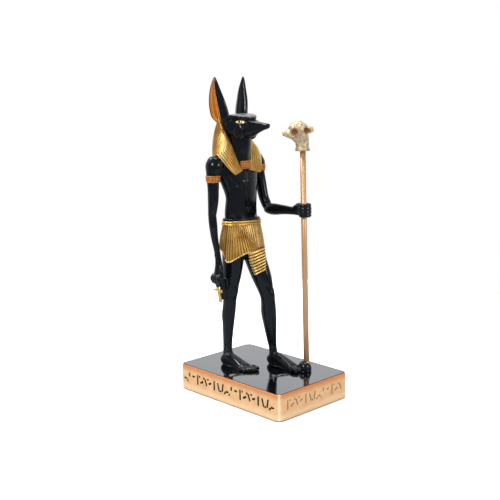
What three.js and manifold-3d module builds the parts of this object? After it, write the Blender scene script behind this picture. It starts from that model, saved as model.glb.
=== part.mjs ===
// Striding jackal-headed statuette with a staff, standing on an inscribed plinth.
// Millimetres, +Z up; the figure faces -Y and its left hand (+X side) holds the staff.
import * as THREE from "three";
import { mergeVertices } from "three/addons/utils/BufferGeometryUtils.js";
import Module from "manifold-3d";

const wasm = await Module();
wasm.setup();

// Overall sizes.
const PLINTH = { width: 49, depth: 71, height: 13.3, corner: 3.5, edge: 0.7, cornerSteps: 4 };
const GAP = 0.3;

// Sides of a ring, from the trunk down to a finger.
const SIDES = { trunk: 16, head: 14, leg: 10, limb: 8, small: 8, finger: 6, round: 16, belt: 16 };
const ACROSS = new THREE.Vector3(1, 0, 0);
const FORWARD = new THREE.Vector3(0, 1, 0);
const UPWARD = new THREE.Vector3(0, 0, 1);

// The figure's own mid-plane, and the upright axes that the headdress and the kilt go round.
const MID_X = -2;
const HOOD_Y = 14;
const HIP_Y = 11.7;

// Body stations: centre x, y, z, then half size across and half size front to back.
const TORSO = [
  [-2, 11.8, 68, 9.0, 5.4],
  [-2, 11.8, 72, 11.2, 7.0],
  [-2, 11.8, 79, 11.1, 6.8],
  [-2, 11.7, 86, 10.1, 5.9],
  [-2, 11.8, 92, 9.2, 5.0],
  [-2, 12.4, 99, 9.9, 5.5],
  [-2, 13.6, 106, 11.2, 5.9],
  [-2, 14.2, 112, 12.6, 6.2],
  [-2, 14.4, 117, 11.5, 5.4],
  [-2, 14.0, 121, 7.0, 4.6],
];
const YOKE = [
  [-17.0, 14.3, 115.6, 3.4, 3.4],
  [-11.0, 14.3, 116.2, 4.2, 3.9],
  [-2.0, 14.2, 118.0, 4.8, 4.8],
  [6.5, 14.8, 116.2, 4.2, 3.9],
  [12.2, 15.2, 115.6, 3.4, 3.4],
];
const NECK = [
  [-2, 12.8, 112, 5.6, 5.2],
  [-2, 12.6, 119, 5.4, 4.9],
  [-2, 12.0, 125, 5.5, 5.4],
  [-2, 12.4, 131, 5.7, 6.0],
];
// Chest muscles, right then left: centre and half sizes.
const PECTORALS = [
  { at: [-7.2, 9.3, 108.9], radii: [5.9, 2.3, 3.7] },
  { at: [3.2, 9.4, 107.4], radii: [5.9, 2.3, 4.6] },
];
const HEAD = [
  [-2, -7.5, 134.0, 1.2, 0.95],
  [-2, -6.2, 133.9, 1.6, 1.4],
  [-2, -3.6, 133.5, 1.7, 1.75],
  [-2, 0, 132.8, 2.3, 2.5],
  [-2, 3.5, 132.1, 3.3, 3.6],
  [-2, 7, 132.6, 5.3, 5.4],
  [-2, 11, 133.1, 6.8, 6.2],
  [-2, 15, 133.3, 7.2, 5.7],
  [-2, 20, 132.8, 6.0, 4.6],
];
const BROW = [
  [-2, 3.3, 136.9, 2.3, 0.8],
  [-2, 5.0, 137.6, 4.6, 1.0],
  [-2, 7.4, 138.1, 6.3, 1.2],
  [-2, 10.5, 138.3, 6.9, 1.3],
  [-2, 15.0, 137.8, 6.9, 1.4],
];
const EYE_LUMP = { out: 5.6, y: 7.0, z: 136.0, radii: [0.7, 1.7, 0.8], turn: 25 };
const RIGHT_ARM = [
  [-16.6, 14.3, 119.7, 1.2, 1.2],
  [-16.7, 14.3, 118.4, 3.2, 3.3],
  [-17.0, 14.3, 114.8, 4.4, 4.5],
  [-18.2, 14.2, 109.5, 3.1, 3.3],
  [-19.2, 14.0, 104.0, 2.6, 3.0],
  [-19.6, 13.8, 98.0, 2.4, 2.8],
  [-19.3, 14.2, 91.5, 2.0, 2.2],
  [-18.8, 14.0, 86.0, 1.9, 2.2],
  [-18.3, 13.7, 80.0, 1.6, 1.9],
  [-17.4, 13.0, 73.0, 1.35, 1.6],
  [-16.9, 12.8, 68.5, 1.5, 1.8],
  [-16.8, 12.7, 65.0, 1.7, 2.4],
  [-17.2, 12.6, 60.5, 2.0, 3.2],
];
const LEFT_ARM = [
  [11.2, 15.2, 119.5, 1.2, 1.2],
  [11.4, 15.2, 118.2, 3.1, 3.2],
  [11.9, 15.2, 114.6, 4.2, 4.3],
  [12.9, 14.6, 109.5, 3.0, 3.3],
  [13.5, 13.6, 104.0, 2.6, 3.0],
  [13.6, 11.9, 97.5, 2.4, 2.7],
  [13.6, 10.2, 92.8, 2.6, 2.7],
  [13.6, 9.6, 90.2, 1.8, 1.8],
];
const LEFT_FOREARM = [
  [13.7, 12.0, 91.2, 1.5, 1.4],
  [13.6, 9.8, 91.3, 2.5, 2.6],
  [13.5, 4.5, 91.7, 2.5, 2.9],
  [13.2, -2.5, 92.1, 2.1, 2.35],
  [12.9, -9.0, 92.3, 1.8, 2.0],
  [12.9, -11.5, 92.9, 2.0, 2.7],
  [13.0, -13.8, 93.5, 2.1, 3.2],
  [13.3, -16.8, 93.6, 1.8, 3.2],
];
const RIGHT_LEG = [
  [-7.2, 12.4, 74, 5.2, 6.2],
  [-7.3, 13.0, 66, 4.8, 5.7],
  [-7.7, 13.5, 58, 4.1, 4.7],
  [-8.0, 14.4, 49, 3.3, 3.7],
  [-8.2, 14.9, 41, 2.9, 3.3],
  [-8.4, 15.3, 34, 2.4, 2.9],
  [-8.5, 15.8, 26, 1.6, 2.5],
  [-8.5, 16.0, 21, 1.6, 2.6],
  [-8.5, 16.0, 16, 2.0, 3.3],
];
const LEFT_LEG = [
  [2.8, 10.0, 74, 5.4, 6.0],
  [4.0, 6.8, 66, 4.8, 5.0],
  [4.9, 3.6, 58, 4.2, 4.5],
  [6.0, 1.3, 49, 3.3, 3.4],
  [6.8, 1.3, 41, 3.1, 3.6],
  [7.4, 0.9, 34, 2.6, 3.0],
  [7.9, 0.2, 25, 1.7, 1.9],
  [8.0, -0.2, 21, 1.7, 1.9],
  [7.9, -0.6, 16, 2.0, 2.8],
];
const RIGHT_FOOT = [
  [-8.9, 19.6, 14.6, 1.4, 1.4],
  [-8.9, 18.4, 15.2, 2.2, 2.8],
  [-8.6, 15.4, 15.8, 2.5, 4.2],
  [-8.2, 11.0, 15.3, 2.8, 3.3],
  [-8.2, 6.6, 14.5, 3.2, 2.6],
  [-8.4, 3.3, 13.9, 3.6, 2.2],
  [-8.4, 1.4, 13.6, 3.4, 1.7],
];
const LEFT_FOOT = [
  [7.8, 3.1, 14.6, 1.4, 1.4],
  [7.8, 1.9, 15.2, 2.2, 2.8],
  [7.9, -1.0, 15.8, 2.5, 4.2],
  [8.2, -5.4, 15.4, 2.8, 3.5],
  [8.1, -9.8, 14.6, 3.2, 2.8],
  [8.1, -13.1, 13.9, 3.6, 2.2],
  [8.1, -15.0, 13.6, 3.4, 1.7],
];
// Toes from big to little: sideways place, reach beyond the foot, half width, half height.
const TOES = [
  [2.7, 1.5, 1.25, 1.2],
  [0.9, 1.3, 0.9, 1.0],
  [-0.6, 0.6, 0.85, 0.95],
  [-2.0, -0.4, 0.8, 0.9],
  [-3.1, -1.7, 0.8, 0.85],
];
const TOE = { length: 2.7, lift: 0.75 };

// Right fist: the row of fingers seen from the side, the thumb before them, and the taper below.
const RIGHT_FIST = {
  at: [-17.9, 12.7, 59.9],
  places: [-2.7, -0.9, 0.9, 2.7],
  finger: [2.6, 1.05, 2.1],
  thumb: { at: [-16.9, 9.7, 62.6], radii: [1.1, 1.0, 3.0], turn: [0, 12, 0] },
};
const FIST_TAPER = [
  [-17.8, 12.7, 60.0, 2.2, 3.0],
  [-17.5, 12.8, 57.6, 1.6, 2.0],
  [-17.5, 12.9, 55.4, 0.6, 0.6],
];
// Left fist: fingers stacked round the rod, each an arc, with the palm and the thumb.
const LEFT_FIST = {
  low: 91.1,
  pitch: 1.6,
  fingers: 4,
  reach: 2.6,
  radius: 1.0,
  from: 25,
  turn: 45,
  steps: 5,
  shift: [0.2, -0.2],
  thumb: { at: [11.2, -14.8, 95.6], radii: [1.2, 2.9, 1.1], turn: [0, 0, 20] },
  palm: { at: [13.6, -16.8, 93.5], size: [2.6, 4.2, 6.0] },
};

// Ear stations: outward place, y, z, half length front to back, half thickness.
const EAR = [
  [6.2, 17.4, 133.9, 1.6, 1.2],
  [6.9, 18.2, 137.2, 4.6, 2.2],
  [7.4, 18.7, 140.6, 5.2, 2.3],
  [8.3, 19.1, 145.6, 4.5, 2.1],
  [8.9, 19.5, 150.6, 3.1, 1.6],
  [9.3, 19.4, 154.8, 1.5, 0.9],
  [9.4, 19.3, 157, 0.35, 0.3],
];
const EAR_TURN = 15;
const EAR_HOLLOW = { out: 0.95, back: 0.26, length: 0.58, depth: 1.0, low: 0.1, high: 0.9, blunt: 0.45 };

// Headdress, half of it: from the lappet's lower end round to the middle of the back. Each row
// gives the upper edge, the point the sheet bends towards and the lower edge, as outward, y, z.
const HOOD = [
  [2.3, 8.0, 112.3, 5.4, 7.0, 111.4, 8.5, 6.7, 110.6],
  [3.5, 9.3, 116.5, 7.2, 7.6, 115.4, 10.8, 8.2, 113.3],
  [4.8, 10.6, 120.7, 9.2, 8.6, 119.8, 13.0, 10.6, 117.2],
  [6.2, 11.6, 124.5, 11.6, 10.8, 123.8, 14.0, 13.0, 119.8],
  [7.6, 13.6, 128.8, 11.9, 14.2, 125.5, 13.4, 15.9, 119.6],
  [9.0, 16.6, 133.6, 11.1, 18.6, 127.5, 12.2, 18.2, 117.0],
  [8.4, 18.8, 137.0, 10.1, 22.3, 127.0, 9.8, 19.9, 112.0],
  [5.0, 19.2, 138.0, 7.6, 27.6, 128.0, 7.6, 21.8, 108.6],
  [0.0, 19.2, 138.2, 0.0, 31.0, 128.0, 0.0, 22.6, 107.6],
];
const HOOD_INNER = 0.72;
const HOOD_STEPS = 2;
const HOOD_ROWS = 6;
const HOOD_LOCK_DEPTH = 0.25;
// The locks run along the lappets in front and down the back behind this row.
const HOOD_TURN_ROW = 4.5;
const COLLAR = { turn: 30, across: 6.3, ahead: 6.1, z: 114.9, half: 2.0, thick: 0.7, steps: 8 };

// The waist is higher towards the right front: lifted by level + tip * cos(angle - toward).
const WAIST_RISE = { level: 1.0, tip: 0.6, toward: -44 };
// Kilt: height, half width, reach forward, reach back; pleats run down it.
const KILT_PLAN = [
  [66, 13.9, 9.6, 10.0],
  [72, 13.6, 9.2, 9.8],
  [79, 12.6, 8.0, 9.0],
  [85.2, 11.2, 6.9, 7.6],
  [87.8, 10.8, 6.5, 7.0],
];
const KILT = { top: 86.4, wall: 1.3, rows: 3, pleats: 28, pleatDepth: 0.3, pleatStart: 0.33 };
// Inside the hem the kilt closes over the hips at this share of its height and this far in.
const KILT_INSIDE = { share: 0.55, wall: 3.2 };
// Angle from the front and hem height.
const KILT_HEM = [
  [0, 72.6],
  [30, 72.2],
  [50, 70.6],
  [68, 69.0],
  [80, 67.6],
  [88, 68.2],
  [98, 72.4],
  [130, 73.0],
  [180, 72.4],
];
// The belt and the roll above it: height and how far it stands out from the kilt's plan.
const BELT = [
  [84.2, 0.05],
  [84.7, 0.45],
  [87.2, 0.45],
  [87.7, 0.1],
];

// Ribbed tab in front of the left thigh. A section is given by shares of its half width, with 1
// for its ribbed front and 0 for its flat back.
const TAB = {
  top: [-0.8, 2.5, 73.4],
  foot: [0.5, 1.4, 61.6],
  topHalf: 5.2,
  footHalf: 2.9,
  topTilt: 0.16,
  footTilt: 0.44,
  topTurn: 5,
  footTurn: 35,
  thin: 0.65,
  thick: 1.25,
  back: 1.4,
  edge: 0.55,
  flare: 0.25,
  ribs: 8,
  section: [[-1, 1], [-0.7, 1], [0.7, 1], [1, 1], [1, 0], [-1, 0]],
};

// Armbands: a section is given by its share of the height and its swell.
const ARMBAND = {
  right: 108.9,
  left: 112.2,
  height: 3.6,
  grow: 0.6,
  beads: 8,
  between: 0.6,
  section: [[-0.5, 0.5], [-0.42, 1], [0.42, 1], [0.5, 0.5]],
};
const ANKH = {
  bar: { at: [-17.2, 13.0, 53.9], size: [1.4, 5.2, 1.6] },
  top: [-18.2, 13.0, 57.6],
  foot: [-15.6, 13.0, 47.8],
  half: 0.6,
  flare: 1.3,
};
const WEB = { x: -13.4, y: 13.2, width: 5.0, depth: 1.2, low: 48.6, high: 59 };

// Staff: foot and top of its straight rod, and the animal head fixed on it.
const ROD_FOOT = [11.95, -19.1, PLINTH.height];
const ROD_TOP = [11.8, -16.7, 125];
const ROD_RADIUS = 1.4;
const FERRULE = { radius: 1.8, height: 4.6, taper: 0.6, bore: 9 };
// Hollow in the left fist round the rod, and the depth of the socket in the staff's head.
const GRIP = { low: 80, high: 108 };
const BOSS = { x: 11.1, y: -18.5, radius: 3.5, height: 5.0, sink: 1.0 };
const STAFF_HEAD_TURN = -30;
const STAFF_HEAD_Z = 126.8;
const SKULL = [
  [0, 0, 122.0, 3.5, 3.1],
  [0, 0, 122.9, 3.6, 3.2],
  [0, 0, 123.5, 3.2, 2.8],
  [-0.4, 0, 126.8, 3.4, 2.8],
  [-1.4, 0, 129.4, 4.3, 3.3],
  [-2.1, 0, 132.2, 4.9, 3.5],
  [-2.3, 0, 134.6, 3.6, 2.6],
  [-2.3, 0, 135.9, 1.4, 1.1],
];
const MUZZLE = [
  [-3.0, 0, 130.2, 2.5, 3.0],
  [-6.0, 0, 130.2, 2.2, 2.4],
  [-8.2, 0, 130.3, 1.4, 1.5],
  [-9.8, 0, 130.2, 0.8, 0.9],
];
const EAR_LOBE = [
  [1.0, 0, 131.6, 2.6, 2.0],
  [3.2, 0, 131.9, 2.9, 1.6],
  [4.9, 0, 132.0, 2.2, 1.3],
];
const HOLLOWS = [
  { at: [-4.9, -2.9, 131.6], radii: [1.5, 1.2, 1.2] },
  { at: [1.2, -3.2, 131.8], radii: [2.1, 1.3, 1.6] },
];

// Inscription: one row of strokes on each side; length, lean and height cycle through these.
const STROKE = { depth: 0.35, width: 0.75, row: 7.9, margin: 4.4, pitch: 3.1, skip: 7, shift: 3 };
const STROKE_LENGTHS = [4.0, 1.8, 2.6, 1.4, 2.6, 2.8, 1.2, 1.8, 3.4, 1.5];
const STROKE_LEANS = [0, 65, 10, 90, -20, -15, 0, 60, 0, 90];
const STROKE_LIFTS = [0, 0.2, 0.3, 0.8, 0, 0, 0.9, -0.3, 0.2, -0.8];

// Turns degrees into radians.
function radians(degrees) {
  return (degrees * Math.PI) / 180;
}

// Reads column values from a table whose first column rises, by straight lines.
function lookup(table, key) {
  const last = table.length - 1;
  if (key <= table[0][0]) return table[0].slice(1);
  if (key >= table[last][0]) return table[last].slice(1);
  const i = table.findIndex((row) => row[0] >= key);
  const share = (key - table[i - 1][0]) / (table[i][0] - table[i - 1][0]);
  return table[i].slice(1).map((value, k) => {
    const before = table[i - 1][k + 1];
    return before + (value - before) * share;
  });
}

// Fills in a row of stations with a smooth curve through all of them.
function smooth(stations, steps) {
  const filled = [];
  const last = stations.length - 1;
  for (let i = 0; i < last; i += 1) {
    const a = stations[Math.max(i - 1, 0)];
    const b = stations[i];
    const c = stations[i + 1];
    const d = stations[Math.min(i + 2, last)];
    for (let k = 0; k < steps; k += 1) {
      const t = k / steps;
      filled.push(b.map((value, j) => {
        const slopeIn = (c[j] - a[j]) / 2;
        const slopeOut = (d[j] - value) / 2;
        const cubic = 2 * value - 2 * c[j] + slopeIn + slopeOut;
        const square = 3 * c[j] - 3 * value - 2 * slopeIn - slopeOut;
        return ((cubic * t + square) * t + slopeIn) * t + value;
      }));
    }
  }
  filled.push(stations[last].slice());
  return filled;
}

// Turns a closed geometry into a solid that can be joined and cut.
function solid(geometry) {
  const bare = geometry.clone();
  bare.deleteAttribute("normal");
  bare.deleteAttribute("uv");
  const merged = mergeVertices(bare);
  return new wasm.Manifold(new wasm.Mesh({
    numProp: 3,
    vertProperties: new Float32Array(merged.attributes.position.array),
    triVerts: new Uint32Array(merged.index.array),
  }));
}

// A closed geometry from points and triangles, turned to face outward.
function closed(points, triangles) {
  let volume = 0;
  for (const [a, b, c] of triangles) {
    const normal = new THREE.Vector3(...points[b]).cross(new THREE.Vector3(...points[c]));
    volume += new THREE.Vector3(...points[a]).dot(normal);
  }
  const faces = volume < 0 ? triangles.map(([a, b, c]) => [a, c, b]) : triangles;
  const geometry = new THREE.BufferGeometry();
  geometry.setAttribute("position", new THREE.Float32BufferAttribute(points.flat(), 3));
  geometry.setIndex(faces.flat());
  return solid(geometry);
}

// Skins a stack of equal rings; the ends are closed by fans.
function skin(rings) {
  const sides = rings[0].length;
  const points = rings.flat();
  const triangles = [];
  for (let i = 0; i < rings.length - 1; i += 1) {
    for (let j = 0; j < sides; j += 1) {
      const a = i * sides + j;
      const b = i * sides + ((j + 1) % sides);
      triangles.push([a, b, b + sides], [a, b + sides, a + sides]);
    }
  }
  for (const i of [0, rings.length - 1]) {
    const middle = [0, 1, 2].map((k) => rings[i].reduce((sum, p) => sum + p[k], 0) / sides);
    points.push(middle);
    for (let j = 0; j < sides; j += 1) {
      const a = i * sides + j;
      const b = i * sides + ((j + 1) % sides);
      triangles.push(i === 0 ? [b, a, points.length - 1] : [a, b, points.length - 1]);
    }
  }
  return closed(points, triangles);
}

// Sweeps an ellipse through stations; across is the direction the first half size lies in.
function sweep(stations, across, sides, steps) {
  const path = smooth(stations, steps);
  const rings = path.map((station, i) => {
    const before = path[Math.max(i - 1, 0)];
    const after = path[Math.min(i + 1, path.length - 1)];
    const along = new THREE.Vector3(...after.slice(0, 3));
    along.sub(new THREE.Vector3(...before.slice(0, 3))).normalize();
    const wide = across.clone().addScaledVector(along, -across.dot(along)).normalize();
    const deep = new THREE.Vector3().crossVectors(along, wide);
    return Array.from({ length: sides }, (_, j) => {
      const angle = ((j + 0.5) / sides) * 2 * Math.PI;
      const p = new THREE.Vector3(...station.slice(0, 3));
      p.addScaledVector(wide, station[3] * Math.cos(angle));
      p.addScaledVector(deep, station[4] * Math.sin(angle));
      return p.toArray();
    });
  });
  return skin(rings);
}

// Mirrors stations given outward from the mid-plane to one side of the figure.
function outward(stations, side) {
  return stations.map(([x, ...rest]) => [MID_X + side * x, ...rest]);
}

// Places a geometry: its sizes, then its turns in degrees, then its centre.
function placed(geometry, centre, scale = [1, 1, 1], turn = [0, 0, 0]) {
  geometry.scale(...scale);
  geometry.rotateX(radians(turn[0]));
  geometry.rotateY(radians(turn[1]));
  geometry.rotateZ(radians(turn[2]));
  geometry.translate(...centre);
  return solid(geometry);
}

// An ellipsoid by its centre and half sizes.
function ellipsoid(centre, radii, sides, rows, turn) {
  const ball = new THREE.SphereGeometry(1, sides, rows);
  ball.rotateX(Math.PI / 2);
  return placed(ball, centre, radii, turn);
}

// A box by its centre and full sizes.
function block(centre, size) {
  return placed(new THREE.BoxGeometry(...size), centre);
}

// Distance from the axis to a squashed oval at an angle; reach is front or back as it applies.
function ovalRadius(halfWidth, reach, sine, cosine) {
  return 1 / Math.hypot(sine / halfWidth, cosine / reach);
}

// How far the waist is lifted at an angle from the front.
function waistRise(degrees) {
  return WAIST_RISE.level + WAIST_RISE.tip * Math.cos(radians(degrees - WAIST_RISE.toward));
}

// A point between three, by the share of the way from the first to the last.
function bend(row, share) {
  const back = 1 - share;
  return [0, 1, 2].map((k) => (
    row[k] * back * back + 2 * row[k + 3] * back * share + row[k + 6] * share * share
  ));
}

// The headdress as a thick sheet: columns run round from lappet to lappet, and rows go down from
// the upper edge to the lower edge. Locks stand out on every second row, or column at the back.
function headdress() {
  const half = smooth(HOOD, HOOD_STEPS);
  const rings = [];
  for (let i = 0; i < half.length * 2 - 1; i += 1) {
    const right = i < half.length;
    const column = right ? i : half.length * 2 - 2 - i;
    const row = half[column];
    const behind = column / HOOD_STEPS > HOOD_TURN_ROW;
    const place = (share, scale, lock) => {
      const [out, y, z] = bend(row, share);
      const depth = y - HOOD_Y;
      const stretch = scale + lock / Math.hypot(out, depth);
      return [MID_X + (right ? -1 : 1) * out * stretch, HOOD_Y + depth * stretch, z];
    };
    const outer = [];
    for (let j = 0; j <= HOOD_ROWS; j += 1) {
      const raised = (behind ? i : j) % 2 === 0 ? 1 : -1;
      outer.push(place(j / HOOD_ROWS, 1, raised * HOOD_LOCK_DEPTH));
    }
    rings.push([...outer, place(1, HOOD_INNER, 0), place(0, HOOD_INNER, 0)]);
  }
  return skin(rings);
}

// The kilt as a thick wall closed round the hips, with pleats down it and a curved hem.
function kilt() {
  const sides = KILT.pleats * 2;
  const rings = [];
  const ringAt = (share, shrink) => Array.from({ length: sides }, (_, j) => {
    const degrees = (j / sides) * 360;
    const turn = degrees > 180 ? 360 - degrees : degrees;
    const [hem] = lookup(KILT_HEM, turn);
    const top = KILT.top + waistRise(degrees);
    const z = top + (hem - top) * share;
    const [halfWidth, front, back] = lookup(KILT_PLAN, z);
    const sine = Math.sin(radians(degrees));
    const cosine = Math.cos(radians(degrees));
    const pleat = (j % 2 === 0 ? -1 : 1) * KILT.pleatDepth * Math.min(share / KILT.pleatStart, 1);
    const radius = ovalRadius(halfWidth, cosine > 0 ? front : back, sine, cosine);
    const reach = radius + (shrink === 0 ? pleat : -shrink);
    return [MID_X + reach * sine, HIP_Y - reach * cosine, z];
  });
  for (let i = 0; i <= KILT.rows; i += 1) rings.push(ringAt(i / KILT.rows, 0));
  rings.push(ringAt(1, KILT.wall), ringAt(KILT_INSIDE.share, KILT_INSIDE.wall));
  return skin(rings);
}

// The belt: a plain band that stands a little proud of the kilt's top.
function belt() {
  return skin(BELT.map(([height, grow]) => Array.from({ length: SIDES.belt }, (_, j) => {
    const degrees = (j / SIDES.belt) * 360;
    const sine = Math.sin(radians(degrees));
    const cosine = Math.cos(radians(degrees));
    const z = height + waistRise(degrees);
    const [halfWidth, front, back] = lookup(KILT_PLAN, z);
    const radius = ovalRadius(halfWidth, cosine > 0 ? front : back, sine, cosine) + grow;
    return [MID_X + radius * sine, HIP_Y - radius * cosine, z];
  })));
}

// The ribbed tab: flat sections down a line, thick on a rib and thin between two.
function tab() {
  const rows = TAB.ribs * 2 + 1;
  const rings = [];
  for (let i = 0; i <= rows; i += 1) {
    const share = i / rows;
    const half = TAB.topHalf + (TAB.footHalf - TAB.topHalf) * share + (i % 2) * TAB.flare;
    const depth = i % 2 === 0 ? TAB.thin : TAB.thick;
    const turn = radians(TAB.topTurn + (TAB.footTurn - TAB.topTurn) * share);
    const tilt = TAB.topTilt + (TAB.footTilt - TAB.topTilt) * share;
    const middle = TAB.top.map((value, k) => value + (TAB.foot[k] - value) * share);
    rings.push(TAB.section.map(([across, ahead]) => {
      const x = across * half;
      const y = ahead === 0 ? TAB.back : -depth * (Math.abs(across) === 1 ? TAB.edge : 1);
      return [
        middle[0] + x * Math.cos(turn) + y * Math.sin(turn),
        middle[1] - x * Math.sin(turn) + y * Math.cos(turn),
        middle[2] + x * tilt,
      ];
    }));
  }
  return skin(rings);
}

// A band of beads round the upper arm: a ring whose radius steps from bead to bead.
function armband(stations, height) {
  const path = smooth(stations, 6);
  const sides = ARMBAND.beads * 2;
  return skin(ARMBAND.section.map(([share, swell]) => {
    const z = height + share * ARMBAND.height;
    const near = path.reduce((best, p) => (Math.abs(p[2] - z) < Math.abs(best[2] - z) ? p : best));
    return Array.from({ length: sides }, (_, j) => {
      const angle = (j / sides) * 2 * Math.PI;
      const grow = ARMBAND.grow * swell * (j % 2 === 0 ? 1 : ARMBAND.between);
      return [
        near[0] + (near[3] + grow) * Math.cos(angle),
        near[1] + (near[4] + grow) * Math.sin(angle),
        z,
      ];
    });
  }));
}

// One ear: a leaf-shaped lobe with a hollow in its outward face, towards its back edge.
function ear(side) {
  const turn = radians(EAR_TURN);
  const across = new THREE.Vector3(side * Math.sin(turn), Math.cos(turn), 0);
  const out = new THREE.Vector3(side * Math.cos(turn), -Math.sin(turn), 0);
  const leaf = sweep(outward(EAR, side), across, SIDES.leg, 1);
  const inside = EAR.filter((_, i, all) => {
    const share = i / (all.length - 1);
    return share > EAR_HOLLOW.low && share < EAR_HOLLOW.high;
  });
  const hollow = inside.map(([x, y, z, length, thick], i) => {
    const round = Math.sin((Math.PI * (i + 0.5)) / inside.length);
    const size = Math.max(Math.sqrt(round), EAR_HOLLOW.blunt);
    const back = EAR_HOLLOW.back * length;
    return [
      x * side + MID_X + out.x * thick * EAR_HOLLOW.out + across.x * back,
      y + out.y * thick * EAR_HOLLOW.out + across.y * back,
      z,
      EAR_HOLLOW.length * length * size,
      EAR_HOLLOW.depth * thick * size,
    ];
  });
  return leaf.subtract(sweep(hollow, across, SIDES.small, 1));
}

// One foot with its five toes, cut flat where it meets the plinth.
function foot(stations, side) {
  const front = stations[stations.length - 1];
  const shape = [sweep(stations, ACROSS, SIDES.limb, 1)];
  for (const [place, reach, halfWidth, halfHeight] of TOES) {
    const z = PLINTH.height + halfHeight * TOE.lift;
    const radii = [halfWidth, TOE.length, halfHeight];
    shape.push(ellipsoid([front[0] - side * place, front[1] - reach, z], radii, SIDES.finger, 3));
  }
  return wasm.Manifold.union(shape);
}

// The closed right hand: fingers curled under, thumb in front, and the taper down to the ankh.
function rightFist() {
  const { at, places, finger, thumb } = RIGHT_FIST;
  const fingers = places.map((place) => (
    ellipsoid([at[0], at[1] + place, at[2]], finger, SIDES.finger, 4)
  ));
  return wasm.Manifold.union([
    ...fingers,
    ellipsoid(thumb.at, thumb.radii, SIDES.finger, 4, thumb.turn),
    sweep(FIST_TAPER, ACROSS, SIDES.small, 1),
  ]);
}

// The left hand: fingers stacked round the rod from the palm, and the thumb above them.
function leftFist() {
  const { low, pitch, fingers, reach, radius, shift, thumb, palm } = LEFT_FIST;
  const parts = [];
  for (let i = 0; i < fingers; i += 1) {
    const z = low + i * pitch;
    const middle = rodAt(z);
    const arc = [];
    for (let k = 0; k <= LEFT_FIST.steps; k += 1) {
      const angle = radians(LEFT_FIST.from - k * LEFT_FIST.turn);
      const x = middle[0] + shift[0] + reach * Math.cos(angle);
      const y = middle[1] + shift[1] + reach * Math.sin(angle);
      arc.push([x, y, z, radius, radius]);
    }
    parts.push(sweep(arc, UPWARD, SIDES.finger, 1));
  }
  parts.push(ellipsoid(thumb.at, thumb.radii, SIDES.finger, 4, thumb.turn));
  parts.push(block(palm.at, palm.size));
  return wasm.Manifold.union(parts);
}

// Where the rod's middle line is at a height.
function rodAt(z) {
  const share = (z - ROD_FOOT[2]) / (ROD_TOP[2] - ROD_FOOT[2]);
  return ROD_FOOT.map((value, k) => value + (ROD_TOP[k] - value) * share);
}

// A round bar along the rod's line between two heights, by pairs of height and radius.
function rodBar(profile) {
  return skin(profile.map(([z, radius]) => {
    const middle = rodAt(z);
    return Array.from({ length: SIDES.round }, (_, j) => {
      const angle = (j / SIDES.round) * 2 * Math.PI;
      return [middle[0] + radius * Math.cos(angle), middle[1] + radius * Math.sin(angle), z];
    });
  }));
}

// The ankh below the right fist, with the web that ties it to the thigh.
function ankh() {
  const { top, foot: low, half, flare, bar } = ANKH;
  const stem = [[...top, half, half], [...low, half * flare, half * flare]];
  const height = WEB.high - WEB.low;
  return wasm.Manifold.union([
    sweep(stem, ACROSS, SIDES.finger, 1),
    block(bar.at, bar.size),
    block([WEB.x, WEB.y, WEB.low + height / 2], [WEB.width, WEB.depth, height]),
  ]);
}

// The collar that shows between the two front lappets.
function collar() {
  const arc = [];
  for (let i = 0; i <= COLLAR.steps; i += 1) {
    const angle = radians(COLLAR.turn * ((2 * i) / COLLAR.steps - 1));
    const x = MID_X + COLLAR.across * Math.sin(angle);
    const y = HOOD_Y - COLLAR.ahead * Math.cos(angle);
    arc.push([x, y, COLLAR.z, COLLAR.half, COLLAR.thick]);
  }
  return sweep(arc, UPWARD, SIDES.small, 1);
}

// All flesh, cloth and ornaments of the figure, joined into one casting.
function figure() {
  const parts = [
    sweep(TORSO, ACROSS, SIDES.trunk, 1),
    sweep(YOKE, FORWARD, SIDES.limb, 1),
    sweep(NECK, ACROSS, SIDES.limb, 1),
    sweep(HEAD, ACROSS, SIDES.head, 1),
    sweep(BROW, ACROSS, SIDES.limb, 1),
    sweep(RIGHT_ARM, ACROSS, SIDES.limb, 1),
    sweep(LEFT_ARM, ACROSS, SIDES.limb, 1),
    sweep(LEFT_FOREARM, ACROSS, SIDES.limb, 1),
    sweep(RIGHT_LEG, ACROSS, SIDES.leg, 1),
    sweep(LEFT_LEG, ACROSS, SIDES.leg, 1),
    foot(RIGHT_FOOT, -1),
    foot(LEFT_FOOT, 1),
    headdress(),
    kilt(),
    belt(),
    tab(),
    armband(RIGHT_ARM, ARMBAND.right),
    armband(LEFT_ARM, ARMBAND.left),
    rightFist(),
    leftFist(),
    ankh(),
    collar(),
    ...PECTORALS.map(({ at, radii }) => ellipsoid(at, radii, SIDES.limb, 5)),
  ];
  for (const side of [-1, 1]) {
    const centre = [MID_X + side * EYE_LUMP.out, EYE_LUMP.y, EYE_LUMP.z];
    parts.push(ear(side));
    parts.push(ellipsoid(centre, EYE_LUMP.radii, SIDES.finger, 3, [0, 0, side * EYE_LUMP.turn]));
  }
  const bossRadii = [BOSS.radius, BOSS.radius, BOSS.height - BOSS.sink];
  parts.push(ellipsoid([BOSS.x, BOSS.y, PLINTH.height + BOSS.sink], bossRadii, SIDES.leg, 5));
  const below = block([0, 0, 0], [2 * PLINTH.width, 2 * PLINTH.depth, 2 * PLINTH.height]);
  const wide = FERRULE.radius + GAP;
  const bore = rodBar([[PLINTH.height - GAP, wide], [PLINTH.height + FERRULE.bore, wide]]);
  const grip = rodBar([[GRIP.low, ROD_RADIUS + GAP], [GRIP.high, ROD_RADIUS + GAP]]);
  return wasm.Manifold.union(parts).subtract(below).subtract(bore).subtract(grip);
}

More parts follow.
